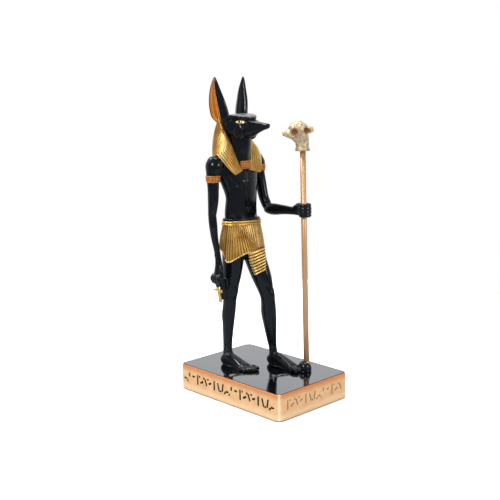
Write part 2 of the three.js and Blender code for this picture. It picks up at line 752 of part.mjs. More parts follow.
// The plinth: a block with round upright corners, slightly eased edges and incised strokes.
function plinth() {
  const { width, depth, height, corner, edge, cornerSteps } = PLINTH;
  const levels = [[0, edge], [edge, 0], [height - edge, 0], [height, edge]];
  const body = skin(levels.map(([z, inset]) => {
    const ring = [];
    for (const [sx, sy, start] of [[1, 1, 0], [-1, 1, 90], [-1, -1, 180], [1, -1, 270]]) {
      for (let k = 0; k <= cornerSteps; k += 1) {
        const angle = radians(start + (k / cornerSteps) * 90);
        const x = sx * (width / 2 - corner) + (corner - inset) * Math.cos(angle);
        const y = sy * (depth / 2 - corner) + (corner - inset) * Math.sin(angle);
        ring.push([x, y, z]);
      }
    }
    return ring;
  }));
  const strokes = [];
  for (let side = 0; side < 4; side += 1) {
    const [length, reach] = side % 2 === 0 ? [width, depth / 2] : [depth, width / 2];
    const count = Math.floor((length - 2 * STROKE.margin) / STROKE.pitch);
    for (let i = 0; i <= count; i += 1) {
      const kind = (i * STROKE.skip + side * STROKE.shift) % STROKE_LENGTHS.length;
      const along = (i - count / 2) * STROKE.pitch;
      const bar = new THREE.BoxGeometry(STROKE.width, STROKE.depth * 2, STROKE_LENGTHS[kind]);
      bar.rotateY(radians(STROKE_LEANS[kind]));
      bar.translate(along, -reach, STROKE.row + STROKE_LIFTS[kind]);
      bar.rotateZ(radians(side * 90));
      strokes.push(solid(bar));
    }
  }
  return body.subtract(wasm.Manifold.union(strokes));
}

// The straight rod with the short ferrule at its foot.
function staffRod() {
  const z = PLINTH.height;
  return rodBar([
    [z, FERRULE.radius],
    [z + FERRULE.height - FERRULE.taper, FERRULE.radius],
    [z + FERRULE.height, ROD_RADIUS],
    [ROD_TOP[2], ROD_RADIUS],
  ]);
}

// The animal head on the staff: a socket block, a domed skull, a muzzle, ears, eye and ear hollows.
function staffHead() {
  const middle = rodAt(STAFF_HEAD_Z);
  const turn = radians(STAFF_HEAD_TURN);
  const ahead = new THREE.Vector3(Math.cos(turn), Math.sin(turn), 0);
  const aside = new THREE.Vector3(-Math.sin(turn), Math.cos(turn), 0);
  const place = ([along, across, ...rest]) => [
    middle[0] + ahead.x * along + aside.x * across,
    middle[1] + ahead.y * along + aside.y * across,
    ...rest,
  ];
  let head = wasm.Manifold.union([
    sweep(SKULL.map(place), ahead, SIDES.leg, 1),
    sweep(MUZZLE.map(place), aside, SIDES.small, 1),
    sweep(EAR_LOBE.map(place), aside, SIDES.small, 1),
  ]);
  for (const { at, radii } of HOLLOWS) {
    for (const side of [-1, 1]) {
      const centre = place([at[0], at[1] * side, at[2]]);
      head = head.subtract(ellipsoid(centre, radii, SIDES.finger, 4, [0, 0, STAFF_HEAD_TURN]));
    }
  }
  const wide = ROD_RADIUS + GAP;
  return head.subtract(rodBar([[GRIP.high, wide], [ROD_TOP[2] + GAP, wide]]));
}

// Wraps a solid as a named mesh with its own material.
function part(name, shape, color, metalness, roughness) {
  const mesh = shape.getMesh();
  const geometry = new THREE.BufferGeometry();
  const points = new Float32Array(mesh.vertProperties);
  geometry.setAttribute("position", new THREE.BufferAttribute(points, 3));
  geometry.setIndex(new THREE.BufferAttribute(new Uint32Array(mesh.triVerts), 1));
  geometry.computeVertexNormals();
  const material = new THREE.MeshStandardMaterial({ color, metalness, roughness });
  const made = new THREE.Mesh(geometry, material);
  made.name = name;
  return made;
}

const statue = new THREE.Group();
statue.name = "jackal_statue";
statue.add(part("figure", figure(), 0x17181c, 0.1, 0.25));
statue.add(part("plinth", plinth(), 0xd9a878, 0.6, 0.35));
statue.add(part("staff_rod", staffRod(), 0xc98f5a, 0.8, 0.3));
statue.add(part("staff_head", staffHead(), 0xd8c08a, 0.7, 0.4));

export default statue;
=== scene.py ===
"""Fine surfaces, finishes, light and camera for a striding jackal-headed statuette with a staff.

Tables and shapes are in millimetres; they turn to metres where a mesh is made.
The figure faces -Y on its plinth, +Z is up, and its left hand (+X side) holds the staff.
"""

import math

import bpy
import numpy as np
from bpy.props import FloatProperty, FloatVectorProperty, IntProperty, PointerProperty
from bpy.types import Operator, Panel, PropertyGroup
from mathutils import Matrix, Vector


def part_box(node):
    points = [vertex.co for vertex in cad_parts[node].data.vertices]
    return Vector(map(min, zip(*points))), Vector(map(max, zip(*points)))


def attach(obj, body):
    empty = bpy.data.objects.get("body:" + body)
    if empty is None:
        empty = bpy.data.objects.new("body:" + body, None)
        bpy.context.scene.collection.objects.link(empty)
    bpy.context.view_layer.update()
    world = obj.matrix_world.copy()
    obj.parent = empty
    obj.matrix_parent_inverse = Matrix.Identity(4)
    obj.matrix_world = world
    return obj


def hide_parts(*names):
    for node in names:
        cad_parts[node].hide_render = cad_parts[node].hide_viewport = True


bl_info = {
    "name": "Jackal statuette",
    "version": (1, 0, 0),
    "blender": (4, 5, 0),
    "location": "3D View > Sidebar > Statuette",
    "description": "Builds the fine surfaces and finishes of a jackal-headed statuette",
    "category": "Object",
}

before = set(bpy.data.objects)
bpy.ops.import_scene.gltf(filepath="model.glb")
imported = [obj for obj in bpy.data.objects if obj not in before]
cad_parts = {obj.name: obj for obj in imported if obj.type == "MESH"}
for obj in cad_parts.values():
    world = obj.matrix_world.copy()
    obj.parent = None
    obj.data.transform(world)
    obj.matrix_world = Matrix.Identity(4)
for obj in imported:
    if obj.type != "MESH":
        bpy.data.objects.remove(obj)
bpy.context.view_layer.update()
MM = 0.001

ACROSS = np.array((1.0, 0.0, 0.0))
FORWARD = np.array((0.0, 1.0, 0.0))
UPWARD = np.array((0.0, 0.0, 1.0))

# Places that several pieces share: the figure's mid-plane, and the upright axes that the kilt
# and the headdress go round.
MID_X = -2.0
HIP_Y = 11.7
HOOD_Y = 14.0
PLINTH_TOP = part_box("plinth")[1].z / MM

# Body stations: centre x, y, z, then half size across and half size front to back.
TORSO = (
    (-2, 11.8, 68, 9.0, 5.4),
    (-2, 11.8, 72, 11.2, 7.0),
    (-2, 11.8, 79, 11.1, 6.8),
    (-2, 11.7, 86, 10.1, 5.9),
    (-2.2, 11.9, 92, 9.8, 5.1),
    (-1.7, 12.1, 99, 9.3, 5.4),
    (-1.6, 13.2, 106, 11.1, 5.9),
    (-2, 14.2, 112, 12.6, 6.2),
    (-2, 14.4, 117, 11.5, 5.4),
    (-2, 14.0, 121, 7.0, 4.6),
)
# Shoulders, from the right one to the left one.
YOKE = (
    (-17.0, 14.3, 115.6, 3.4, 3.4),
    (-11.0, 14.3, 116.2, 4.2, 3.9),
    (-2.0, 14.2, 118.0, 4.8, 4.8),
    (6.5, 14.8, 116.2, 4.2, 3.9),
    (12.2, 15.2, 115.6, 3.4, 3.4),
)
NECK = (
    (-2, 12.8, 112, 5.6, 5.2),
    (-2, 12.6, 119, 5.4, 4.9),
    (-2, 12.0, 125, 5.5, 5.4),
    (-2, 12.4, 131, 5.7, 6.0),
)
RIGHT_ARM = (
    (-16.6, 14.3, 119.7, 1.2, 1.2),
    (-16.7, 14.3, 118.4, 3.2, 3.3),
    (-17.0, 14.3, 114.8, 4.4, 4.5),
    (-18.2, 14.2, 109.5, 3.1, 3.3),
    (-18.7, 13.6, 104.0, 2.6, 3.0),
    (-19.1, 13.4, 98.0, 2.4, 2.8),
    (-19.2, 14.0, 91.5, 2.0, 2.2),
    (-18.8, 14.0, 86.0, 1.9, 2.2),
    (-18.3, 13.7, 80.0, 1.6, 1.9),
    (-17.4, 13.0, 73.0, 1.35, 1.6),
    (-16.9, 12.8, 68.5, 1.5, 1.8),
    (-16.8, 12.7, 65.0, 1.7, 2.4),
    (-17.2, 12.6, 60.5, 2.0, 3.2),
)
LEFT_ARM = (
    (11.2, 15.2, 119.5, 1.2, 1.2),
    (11.4, 15.2, 118.2, 3.1, 3.2),
    (11.9, 15.2, 114.6, 4.2, 4.3),
    (12.9, 14.6, 109.5, 3.0, 3.3),
    (13.5, 13.6, 104.0, 2.6, 3.0),
    (13.6, 11.9, 97.5, 2.4, 2.7),
    (13.8, 9.6, 92.9, 2.4, 2.4),
    (13.8, 9.2, 90.6, 1.5, 1.4),
)
LEFT_FOREARM = (
    (13.9, 10.8, 91.6, 1.3, 1.2),
    (13.8, 9.0, 91.5, 2.4, 2.4),
    (13.5, 4.5, 91.7, 2.5, 2.9),
    (13.2, -2.5, 92.1, 2.1, 2.35),
    (12.9, -9.0, 92.3, 1.8, 2.0),
    (12.9, -11.5, 92.9, 2.0, 2.7),
    (13.0, -13.8, 93.5, 2.1, 3.2),
    (13.3, -16.8, 93.6, 1.8, 3.2),
)
RIGHT_LEG = (
    (-7.2, 12.4, 74, 5.2, 6.2),
    (-7.3, 13.0, 66, 4.8, 5.7),
    (-7.7, 13.5, 58, 4.1, 4.7),
    (-8.0, 14.4, 49, 3.3, 3.7),
    (-8.2, 15.3, 41, 2.9, 3.7),
    (-8.4, 15.8, 34, 2.4, 3.4),
    (-8.5, 16.3, 26, 1.7, 3.0),
    (-8.5, 16.4, 21, 1.6, 3.0),
    (-8.5, 16.1, 16, 2.0, 3.4),
)
LEFT_LEG = (
    (2.8, 10.0, 74, 5.4, 6.0),
    (4.0, 7.7, 66, 4.8, 5.9),
    (4.9, 4.7, 58, 4.2, 5.5),
    (6.0, 2.1, 49, 3.3, 4.2),
    (6.8, 2.1, 41, 3.1, 4.4),
    (7.4, 1.9, 34, 2.6, 4.0),
    (7.9, 1.1, 25, 1.7, 2.8),
    (8.0, 0.5, 21, 1.7, 2.5),
    (7.9, -0.3, 16, 2.0, 3.0),
)
RIGHT_FOOT = (
    (-8.9, 19.6, 14.6, 1.4, 1.4),
    (-8.9, 18.4, 15.2, 2.2, 2.8),
    (-8.6, 15.4, 15.8, 2.5, 4.2),
    (-8.2, 11.0, 15.3, 2.8, 3.3),
    (-8.2, 6.6, 14.5, 3.2, 2.6),
    (-8.4, 3.3, 13.9, 3.5, 2.2),
    (-8.4, 1.4, 13.6, 3.0, 1.5),
)
LEFT_FOOT = (
    (7.8, 3.1, 14.6, 1.4, 1.4),
    (7.8, 1.9, 15.2, 2.2, 2.8),
    (7.9, -1.0, 15.8, 2.5, 4.2),
    (8.2, -5.4, 15.4, 2.8, 3.5),
    (8.1, -9.8, 14.6, 3.2, 2.8),
    (8.1, -13.1, 13.9, 3.5, 2.2),
    (8.1, -15.0, 13.6, 3.0, 1.5),
)
# Toes from big to little: sideways place, reach beyond the foot, half width, half height.
TOES = (
    (2.7, 1.5, 1.25, 1.2),
    (0.9, 1.3, 0.9, 1.0),
    (-0.6, 0.6, 0.85, 0.95),
    (-2.0, -0.4, 0.8, 0.9),
    (-3.1, -1.7, 0.8, 0.85),
)
TOE_REACH = 2.7

# The wedge that the right fist narrows to, down to the ankh.
FIST_TAPER = (
    (-17.8, 12.7, 60.0, 2.2, 3.0),
    (-17.5, 12.8, 57.6, 1.6, 2.0),
    (-17.5, 12.9, 55.4, 0.6, 0.6),
)
# Left fist: lowest finger, distance between fingers, and their ring round the rod.
LEFT_FIST = {"low": 91.1, "pitch": 1.6, "reach": 2.6, "radius": 1.0, "shift": (0.2, -0.2)}

# Head stations run along Y from the nose to the back of the skull.
HEAD = (
    (-2, -7.5, 134.0, 1.2, 0.95),
    (-2, -6.2, 133.9, 1.6, 1.4),
    (-2, -3.6, 133.5, 1.7, 1.75),
    (-2, 0, 132.8, 2.3, 2.5),
    (-2, 3.5, 132.1, 3.3, 3.6),
    (-2, 7, 132.6, 5.3, 5.4),
    (-2, 11, 133.1, 6.8, 6.2),
    (-2, 15, 133.3, 7.2, 5.7),
    (-2, 20, 132.8, 6.0, 4.6),
)
BROW = (
    (-2, 3.3, 136.9, 2.3, 0.8),
    (-2, 5.0, 137.6, 4.6, 1.0),
    (-2, 7.4, 138.1, 6.3, 1.2),
    (-2, 10.5, 138.3, 6.9, 1.3),
    (-2, 15.0, 137.8, 6.9, 1.4),
)
# The flat bridge of the muzzle, from the nose up to the brow.
BRIDGE = (
    (-2, -7.2, 134.6, 1.0, 0.5),
    (-2, -4.0, 134.5, 1.4, 1.0),
    (-2, 0.0, 134.5, 2.0, 1.5),
    (-2, 3.6, 134.6, 2.8, 2.0),
    (-2, 6.4, 134.8, 3.4, 2.2),
)
# Round forms of the head: centre and radii. Cheek and eyeball have their distance out from the
# mid-plane in place of x, and a turn about Z in radians.
NOSE = ((MID_X, -7.1, 134.3), (1.35, 1.1, 1.0))
CHEEK = ((4.5, 8.8, 131.4), (1.9, 4.2, 4.6), 0.0)
EYEBALL = ((5.1, 6.6, 135.7), (0.75, 2.0, 0.9), 0.45)
# The painted eye: its middle as distance out, y and z, the way it points, half its length, the
# lids' heights, half a drawn line's width, how far an edge fades, and the pupil's radius and place.
EYE = {
    "centre": (5.2, 6.5, 135.7),
    "ahead": (-0.47, -0.88, 0.05),
    "half": 2.4,
    "up": 0.85,
    "down": 0.75,
    "line": 0.12,
    "fade": 0.4,
    "pupil": 0.62,
    "pupil_at": (0.1, 0.2),
}

# Ear stations: outward place, y, z, half length front to back, half thickness.
EAR = (
    (6.2, 17.4, 133.9, 1.6, 1.2),
    (6.9, 18.2, 137.2, 4.6, 2.2),
    (7.4, 18.7, 140.6, 5.2, 2.3),
    (8.3, 19.1, 145.6, 4.5, 2.1),
    (8.9, 19.5, 150.6, 3.1, 1.6),
    (9.3, 19.4, 154.8, 1.5, 0.9),
    (9.4, 19.3, 157, 0.35, 0.3),
)
EAR_TURN = math.radians(15)
# Two ridges run up inside the hollow: height, place across it and width.
EAR_RIDGES = ((0.26, -0.45, 0.12), (0.18, -0.05, 0.1))
# The lining turns paler between these heights.
EAR_PALER = (143, 155)

# Headdress, half of it: from the lappet's lower end round to the middle of the back. Each row
# gives the upper edge, the point the sheet bends towards and the lower edge, as outward, y, z.
HOOD = (
    (2.3, 8.0, 112.3, 5.4, 7.0, 111.4, 8.5, 6.7, 110.6),
    (3.5, 9.3, 116.5, 7.2, 7.6, 115.4, 10.8, 8.2, 113.3),
    (4.8, 10.6, 120.7, 9.2, 8.6, 119.8, 13.0, 10.6, 117.2),
    (6.2, 11.6, 124.5, 11.6, 10.8, 123.8, 14.0, 13.0, 119.8),
    (7.6, 13.6, 128.8, 11.9, 14.2, 125.5, 13.4, 15.9, 119.6),
    (9.0, 16.6, 133.6, 11.1, 18.6, 127.5, 12.2, 18.2, 117.0),
    (8.4, 18.8, 137.0, 10.1, 22.3, 127.0, 9.8, 19.9, 112.0),
    (5.0, 19.2, 138.0, 7.6, 27.6, 128.0, 7.6, 21.8, 108.6),
    (0.0, 19.2, 138.2, 0.0, 31.0, 128.0, 0.0, 22.6, 107.6),
)
HOOD_INNER = 0.76
# The crease behind each lappet starts at a station of the table and slants over some stations
# along a bowed line. The cloth steps in behind it, where the locks have a fixed pitch.
CREASE = {"station": 5.0, "slant": 2.2, "bow": 0.9, "step": 0.55, "back_pitch": 1.3}

# The waist is higher towards the right front: lifted by level + tip * cos(angle - toward).
WAIST_RISE = {"level": 1.0, "tip": 0.6, "toward": math.radians(-44)}
# Kilt: height, half width, reach forward, reach back; hem height by angle from the front.
KILT_PLAN = (
    (66, 13.9, 9.6, 10.0),
    (72, 13.6, 9.2, 9.8),
    (79, 12.6, 8.0, 9.0),
    (85.2, 11.2, 6.9, 7.6),
    (87.8, 10.8, 6.5, 7.0),
)
KILT_TOP = 86.4
KILT_HEM = (
    (0, 72.6),
    (30, 72.2),
    (50, 70.6),
    (64, 68.8),
    (73, 67.9),
    (80, 68.2),
    (88, 73.0),
    (98, 73.8),
    (130, 73.4),
    (180, 72.4),
)
KILT_FOLD = 82.0
# The wrap's border runs down across the front between these angles and heights.
BORDER = {"top_angle": -40.0, "top": 84.5, "foot_angle": 27.0, "foot": 73.3}
# Relief of the wrap: how far the upper layer, its bead and the hem stand out and the back steps
# in, how much the pleats of each layer lean, and the lower layer's pitch against the upper's.
WRAP = {
    "upper": 0.28,
    "bead": 0.2,
    "hem": 0.12,
    "back": 0.45,
    "lean": 0.3,
    "lower_lean": 0.47,
    "lower_pitch": 1.45,
}
# Inside of the kilt: share of the way up from the hem, and distance in from the outside.
KILT_INSIDE = ((0.0, 0.9), (0.25, 1.4), (0.5, 2.2))
# Belt, from its lower edge up: height, distance out from the kilt, and brown wash.
BELT = (
    (84.1, -0.4, 0.8),
    (84.2, 0.15, 0.5),
    (84.55, 0.42, 0),
    (84.95, 0.4, 0.1),
    (85.2, 0.22, 0.9),
    (85.4, 0.3, 0.6),
    (85.7, 0.5, 0),
    (86.1, 0.52, 0),
    (86.35, 0.3, 0.5),
    (86.4, 0.2, 0),
    (86.6, 0.2, 0),
    (87.0, 0.2, 0),
    (87.4, 0.1, 0),
    (87.65, -0.2, 0),
    (87.7, -1.2, 0),
)
BELT_GOLD_TOP = 86.38
# Tab: ends of its middle line, half width, tilt and turn in degrees at both ends, thickness
# between the ribs and on them, where its back lies, and the ribs.
TAB = {
    "top": (-0.8, 2.5, 73.4),
    "foot": (0.5, 1.4, 61.6),
    "half": (5.2, 2.9),
    "tilt": (0.16, 0.44),
    "turn": (5, 35),
    "thin": 0.55,
    "thick": 1.5,
    "back": 1.4,
    "ribs": 8,
}
# Armbands: heights of their middles, height of a band, how far it stands out, and its cells.
ARMBAND = {"right": 108.9, "left": 112.2, "height": 3.2, "grow": 0.42, "cells": 13}
# Lower half of a band's section: share of its height from the middle, and share that it swells.
BAND_PROFILE = (
    (-0.5, -0.6),
    (-0.5, 0.5),
    (-0.44, 1),
    (-0.36, 1),
    (-0.3, 0.55),
    (-0.24, 0.9),
    (0, 1.0),
)
# Collar: half its arc in degrees, the arc's radii across and ahead, its middle height, half its
# height, its thickness and its cells.
COLLAR = {
    "turn": 30,
    "across": 6.3,
    "ahead": 6.1,
    "z": 114.9,
    "half": 2.0,
    "thick": 0.7,
    "cells": 7,
}
# Ankh: ends of the stem, middle of the bar and its reach, half widths, and how both flare.
ANKH = {
    "top": (-18.2, 13.0, 57.6),
    "foot": (-15.6, 13.0, 47.8),
    "bar": (-17.2, 13.0, 53.9),
    "reach": (0.0, 2.6, 0.3),
    "half": 0.55,
    "stem_flare": 0.2,
    "bar_flare": 0.25,
    "bar_thick": 0.65,
}
# Web between the ankh and the thigh: its middle, half width, half thickness and two heights.
WEB = {"x": -13.4, "y": 13.2, "half": 2.4, "thick": 0.65, "low": 48.6, "high": 59}

# Staff: the rod's middle line, its ferrule and the animal head's own stations.
ROD_FOOT = np.array((11.95, -19.1, PLINTH_TOP))
ROD_TOP = np.array((11.8, -16.7, 125.0))
ROD_RADIUS = 1.4
# Ferrule, and one of the two prongs that it ends in: heights are above the plinth's top.
FERRULE = ((1.8, 1.2), (2.0, 1.65), (3.6, 1.8), (4.3, 1.72), (4.6, 1.45), (4.7, 1.0))
PRONG_TOP = 3.2
PRONG = ((0.6, -0.55, 0), (1.1, -1.0, -1.6), (1.3, -1.2, -3.0))
PRONG_RADIUS = 0.62
# The lump at the left foot that takes the staff.
BOSS = {"centre": (11.1, -18.5, PLINTH_TOP + 1.0), "radii": (3.5, 3.5, 4.0)}
STAFF_HEAD_TURN = math.radians(-30)
STAFF_HEAD_Z = 126.8
# Animal head, with x along its own line, away from the snout, and y across.
SKULL = (
    (0, 0, 122.0, 3.5, 3.1),
    (0, 0, 122.9, 3.6, 3.2),
    (0, 0, 123.5, 3.2, 2.8),
    (-0.4, 0, 126.8, 3.4, 2.8),
    (-1.4, 0, 129.4, 4.3, 3.3),
    (-2.1, 0, 132.2, 4.9, 3.5),
    (-2.3, 0, 134.6, 3.6, 2.6),
    (-2.3, 0, 135.9, 1.4, 1.1),
)
SNOUT = (
    (-3.0, 0, 130.2, 2.5, 3.0),
    (-6.0, 0, 130.2, 2.2, 2.4),
    (-8.2, 0, 130.3, 1.4, 1.5),
    (-9.8, 0, 130.2, 0.8, 0.9),
)
SMALL_EAR = (
    (1.0, 0, 131.6, 2.6, 2.0),
    (3.2, 0, 131.9, 2.9, 1.6),
    (4.9, 0, 132.0, 2.2, 1.3),
)
# Hollows of its eyes and ears: place on one side. A hollow has a soft rim round it.
HOLLOWS = ((-4.9, 2.9, 131.2), (1.2, 3.2, 131.8))
HOLLOW = {"radius": 2.1, "depth": 0.9, "rim": 0.35}

# Plinth, and the row of strokes cut in each of its sides.
PLINTH = {"width": 49.0, "depth": 71.0, "corner": 3.5, "edge": 0.7}
# Heights on its sides: the painted coppery reflection along the top, the pale band at the foot,
# the painted shadow along the bottom edge, and a fine groove all round.
TOP_REFLECTION_BAND = (PLINTH_TOP - 3.4, PLINTH_TOP - 0.4)
FOOT_BAND = (2.4, 4.4)
FOOT_SHADOW = (0.3, 0.9)
FINE_LINE = {"z": 3.6, "width": 0.12, "depth": 0.06}
# Strokes: depth and width of a cut, the row's middle height, the margin at a side's ends, the
# distance from one to the next, how far an edge fades, and the share of ink on the short and the
# long sides.
STROKE = {
    "depth": 0.3,
    "width": 1.0,
    "row": 7.4,
    "margin": 4.4,
    "pitch": 3.1,
    "fade": 0.25,
    "inks": (0.5, 1.0),
}
STROKE_LENGTHS = (5.4, 2.4, 4.4, 2.0, 3.8, 4.4, 2.2, 2.6, 5.0, 2.2)
STROKE_LEANS = (0, 65, 10, 90, -20, -15, 0, 60, 0, 90)
STROKE_LIFTS = (0, 0.2, 0.3, 1.0, 0, 0, 1.4, -0.6, 0, -1.0)
# Short strokes half way between two long ones; none where the length is 0.
DASH_LENGTHS = (1.2, 0, 1.6, 0, 1.3, 1.2, 0, 1.4, 0, 1.2)
DASH_LEANS = (0, 90, 50, 0, 90, 20, -60, 0, 75, 0)
DASH_LIFTS = (2.0, 0, -1.9, 0, 1.9, -1.8, 0, 1.8, 0, -2.0)

# Camera: where it stands and its right, up and backward directions, in millimetres.
CAMERA = {
    "place": (-310.2, -315.2, 158.9),
    "right": (0.720, -0.694, -0.012),
    "up": (0.140, 0.128, 0.982),
    "back": (-0.680, -0.708, 0.190),
    "lens": 66.1,
    "sensor": 36.0,
}

# Studio, as glossy surfaces see it: the direction of the white wall behind the figure, the dim room
# in front and its floor, and the soft boxes by direction, half spread in degrees and power.
WHITE = (1, 1, 1, 1)
WALL = (0.69, 0.72, 0.1)
ROOM_TONE = (0.25, 0.28, 0.32, 1)
FLOOR_TONE = (0.22, 0.25, 0.29, 1)
SOFT_BOXES = (
    ((-0.32, 0.53, 0.79), 12, 34),
    ((0.03, -0.24, 0.97), 12, 28),
)
# Square lights that face the figure's middle: name, place and size in metres, and power in watts.
LIGHTS = (
    ("key", (-0.5, -0.16, 0.46), 0.18, 2.4),
    ("fill", (0.16, -0.6, 0.3), 0.22, 1.2),
    ("top", (0.05, 0.1, 0.7), 0.3, 1.8),
)
LIT_POINT = Vector((0, 0, 0.08))
FLOOR_RADII = (10, 80, 160, 260.0)
FLOOR_SIDES = 64

# Finishes: how strongly the clear lacquer bends light, and the clear coat on the plinth's gilding.
LACQUER_IOR = 1.36
GILDING_IOR = 1.2


def linear(code):
    """An sRGB hex colour as linear red, green and blue with full opacity."""
    tone = []
    for i in (1, 3, 5):
        part = int(code[i : i + 2], 16) / 255
        tone.append(part / 12.92 if part <= 0.04045 else ((part + 0.055) / 1.055) ** 2.4)
    return (*tone, 1.0)


def colour(name, code, description):
    """A colour property with its default given as an sRGB hex value."""
    return FloatVectorProperty(
        name=name,
        description=description,
        subtype="COLOR",
        size=4,
        min=0,
        max=1,
        default=linear(code),
    )


class StatuetteSizes(PropertyGroup):
    """Sizes of the fine relief."""

    skin_voxel: FloatProperty(
        name="Body grid",
        description="Grid size that the body's parts are fused at",
        default=0.3 * MM,
        unit="LENGTH",
    )
    head_voxel: FloatProperty(
        name="Head grid",
        description="Grid size that the head's parts are fused at",
        default=0.2 * MM,
        unit="LENGTH",
    )
    lock_count: FloatProperty(
        name="Locks", description="Locks across a front lappet", default=7.0
    )
    lock_depth: FloatProperty(
        name="Lock depth", description="Depth between two locks", default=0.24 * MM, unit="LENGTH"
    )
    pleat_pitch: FloatProperty(
        name="Pleat pitch", description="Distance between pleats", default=0.95 * MM, unit="LENGTH"
    )
    pleat_depth: FloatProperty(
        name="Pleat depth", description="Depth between two pleats", default=0.26 * MM, unit="LENGTH"
    )
    tab_ribs: IntProperty(name="Tab ribs", description="Ribs across the tab", default=TAB["ribs"])


class StatuetteColours(PropertyGroup):
    """Colours of the paints and gilding."""

    lacquer: colour("Lacquer", "#07090c", "Black gloss paint of the skin")
    gold: colour("Antique gold", "#deae5a", "Gold paint of the headdress and kilt")
    # The same brown is also painted shade on the headdress behind each crease.
    gold_shade: colour("Gold wash", "#4e2f10", "Brown wash left in the gold's grooves")
    copper: colour("Copper", "#a8672c", "Copper paint of collar and armbands")
    lining: colour("Ear lining", "#c27a2a", "Orange paint inside the ears")
    champagne: colour("Champagne gilt", "#cca77d", "Gilding of the plinth's sides")
    nickel: colour("Black nickel", "#828589", "Mirror of the plinth's top")
    rod: colour("Rod copper", "#c2936a", "Rose copper of the staff's rod")
    pale_gold: colour("Pale gold", "#c6b08a", "Pale gilding of the staff's head")


# Surfaces


def full_turn(sides):
    """Angles of the sides of a closed ring, evenly spaced."""
    return np.linspace(0, 2 * np.pi, sides, endpoint=False)


def bell(value, middle, width):
    """1 at the middle, falling off on both sides: exp(-((value - middle) / width) squared)."""
    return np.exp(-(((value - middle) / width) ** 2))


class Surface:
    """A closed skin: points in millimetres, four- and three-cornered faces, the slot of each
    face, and one value a point for each named layer."""

    def __init__(self, points, quads, triangles=(), slots=0, layers=None):
        self.points = np.asarray(points, float)
        self.quads = np.asarray(quads, int).reshape(-1, 4)
        self.triangles = np.asarray(triangles, int).reshape(-1, 3)
        self.slots = np.broadcast_to(slots, len(self.quads) + len(self.triangles)).astype(int)
        self.layers = dict(layers or {})

    def corners(self):
        """Every face as triangles, for sums over the surface."""
        q = self.quads
        return np.concatenate([q[:, (0, 1, 2)], q[:, (0, 2, 3)], self.triangles])

    def outward(self):
        """The same surface with its faces turned out: a negative volume means they face in."""
        a, b, c = (self.points[column] for column in self.corners().T)
        if np.einsum("ij,ij->", a, np.cross(b, c)) < 0:
            self.quads = self.quads[:, ::-1]
            self.triangles = self.triangles[:, ::-1]
        return self

    def normals(self):
        """Unit normal at each point: the sum of its faces' normals, weighted by their size."""
        corners = self.corners()
        a, b, c = (self.points[column] for column in corners.T)
        facing = np.cross(b - a, c - a)
        total = np.zeros_like(self.points)
        for column in corners.T:
            for k in range(3):
                total[:, k] += np.bincount(column, facing[:, k], len(total))
        return total / np.maximum(np.linalg.norm(total, axis=1, keepdims=True), 1e-12)


def grid_faces(rows, columns, wrap):
    """Four-cornered faces of a grid, row by row; wrap joins the last column to the first."""
    last = columns if wrap else columns - 1
    row = np.arange(rows - 1)[:, None] * columns
    here = np.arange(last)[None, :]
    ahead = (here + 1) % columns
    above = row + columns
    return np.stack([row + here, row + ahead, above + ahead, above + here], -1).reshape(-1, 4)


def skin(rings, slots=0, layers=None):
    """Closes a stack of rings into a skin, with a fan round the middle of each end ring."""
    rows, sides = rings.shape[:2]
    ends = rings[[0, -1]].mean(axis=1)
    points = np.concatenate([rings.reshape(-1, 3), ends])
    here = np.arange(sides)
    ahead = (here + 1) % sides
    base = (rows - 1) * sides
    low = np.stack([ahead, here, np.full(sides, rows * sides)], -1)
    high = np.stack([base + here, base + ahead, np.full(sides, rows * sides + 1)], -1)
    row_slots = np.broadcast_to(slots, rows - 1)
    face_slots = np.concatenate([np.repeat(row_slots, sides), np.repeat(row_slots[[0, -1]], sides)])
    flat = {
        name: np.concatenate([values.ravel(), values[[0, -1]].mean(axis=1)])
        for name, values in (layers or {}).items()
    }
    triangles = np.concatenate([low, high])
    return Surface(points, grid_faces(rows, sides, True), triangles, face_slots, flat).outward()


def sheet(outer, inner, layers=None):
    """A sheet with thickness: two grids of equal size, back to back, and a strip round the edge."""
    rows, columns = outer.shape[:2]
    count = rows * columns
    front = grid_faces(rows, columns, False)
    index = np.arange(count).reshape(rows, columns)
    edge = np.concatenate([index[0], index[1:, -1], index[-1, -2::-1], index[-2:0:-1, 0]])
    ahead = np.roll(edge, -1)
    strip = np.stack([ahead, edge, edge + count, ahead + count], -1)
    points = np.concatenate([outer.reshape(-1, 3), inner.reshape(-1, 3)])
    flat = {name: np.tile(values.ravel(), 2) for name, values in (layers or {}).items()}
    quads = np.concatenate([front, front[:, ::-1] + count, strip])
    return Surface(points, quads, layers=flat).outward()


def between(stations, steps):
    """A smooth curve through every station: a cubic in each gap, whose slope at a station is half
    the step between its neighbours."""
    rows = np.asarray(stations, float)
    last = len(rows) - 1
    place = np.linspace(0, last, last * steps + 1)
    i = np.minimum(place.astype(int), last - 1)
    t = (place - i)[:, None]
    a, b = rows[np.maximum(i - 1, 0)], rows[i]
    c, d = rows[i + 1], rows[np.minimum(i + 2, last)]
    slope_in, slope_out = (c - a) / 2, (d - b) / 2
    cubic = 2 * b - 2 * c + slope_in + slope_out
    square = 3 * c - 3 * b - 2 * slope_in - slope_out
    return ((cubic * t + square) * t + slope_in) * t + b


def signed_power(value, power):
    """A value raised to a power with its sign kept."""
    return np.sign(value) * np.abs(value) ** power


def unit(vectors):
    """Vectors of length one in the same directions."""
    return vectors / np.maximum(np.linalg.norm(vectors, axis=-1, keepdims=True), 1e-12)


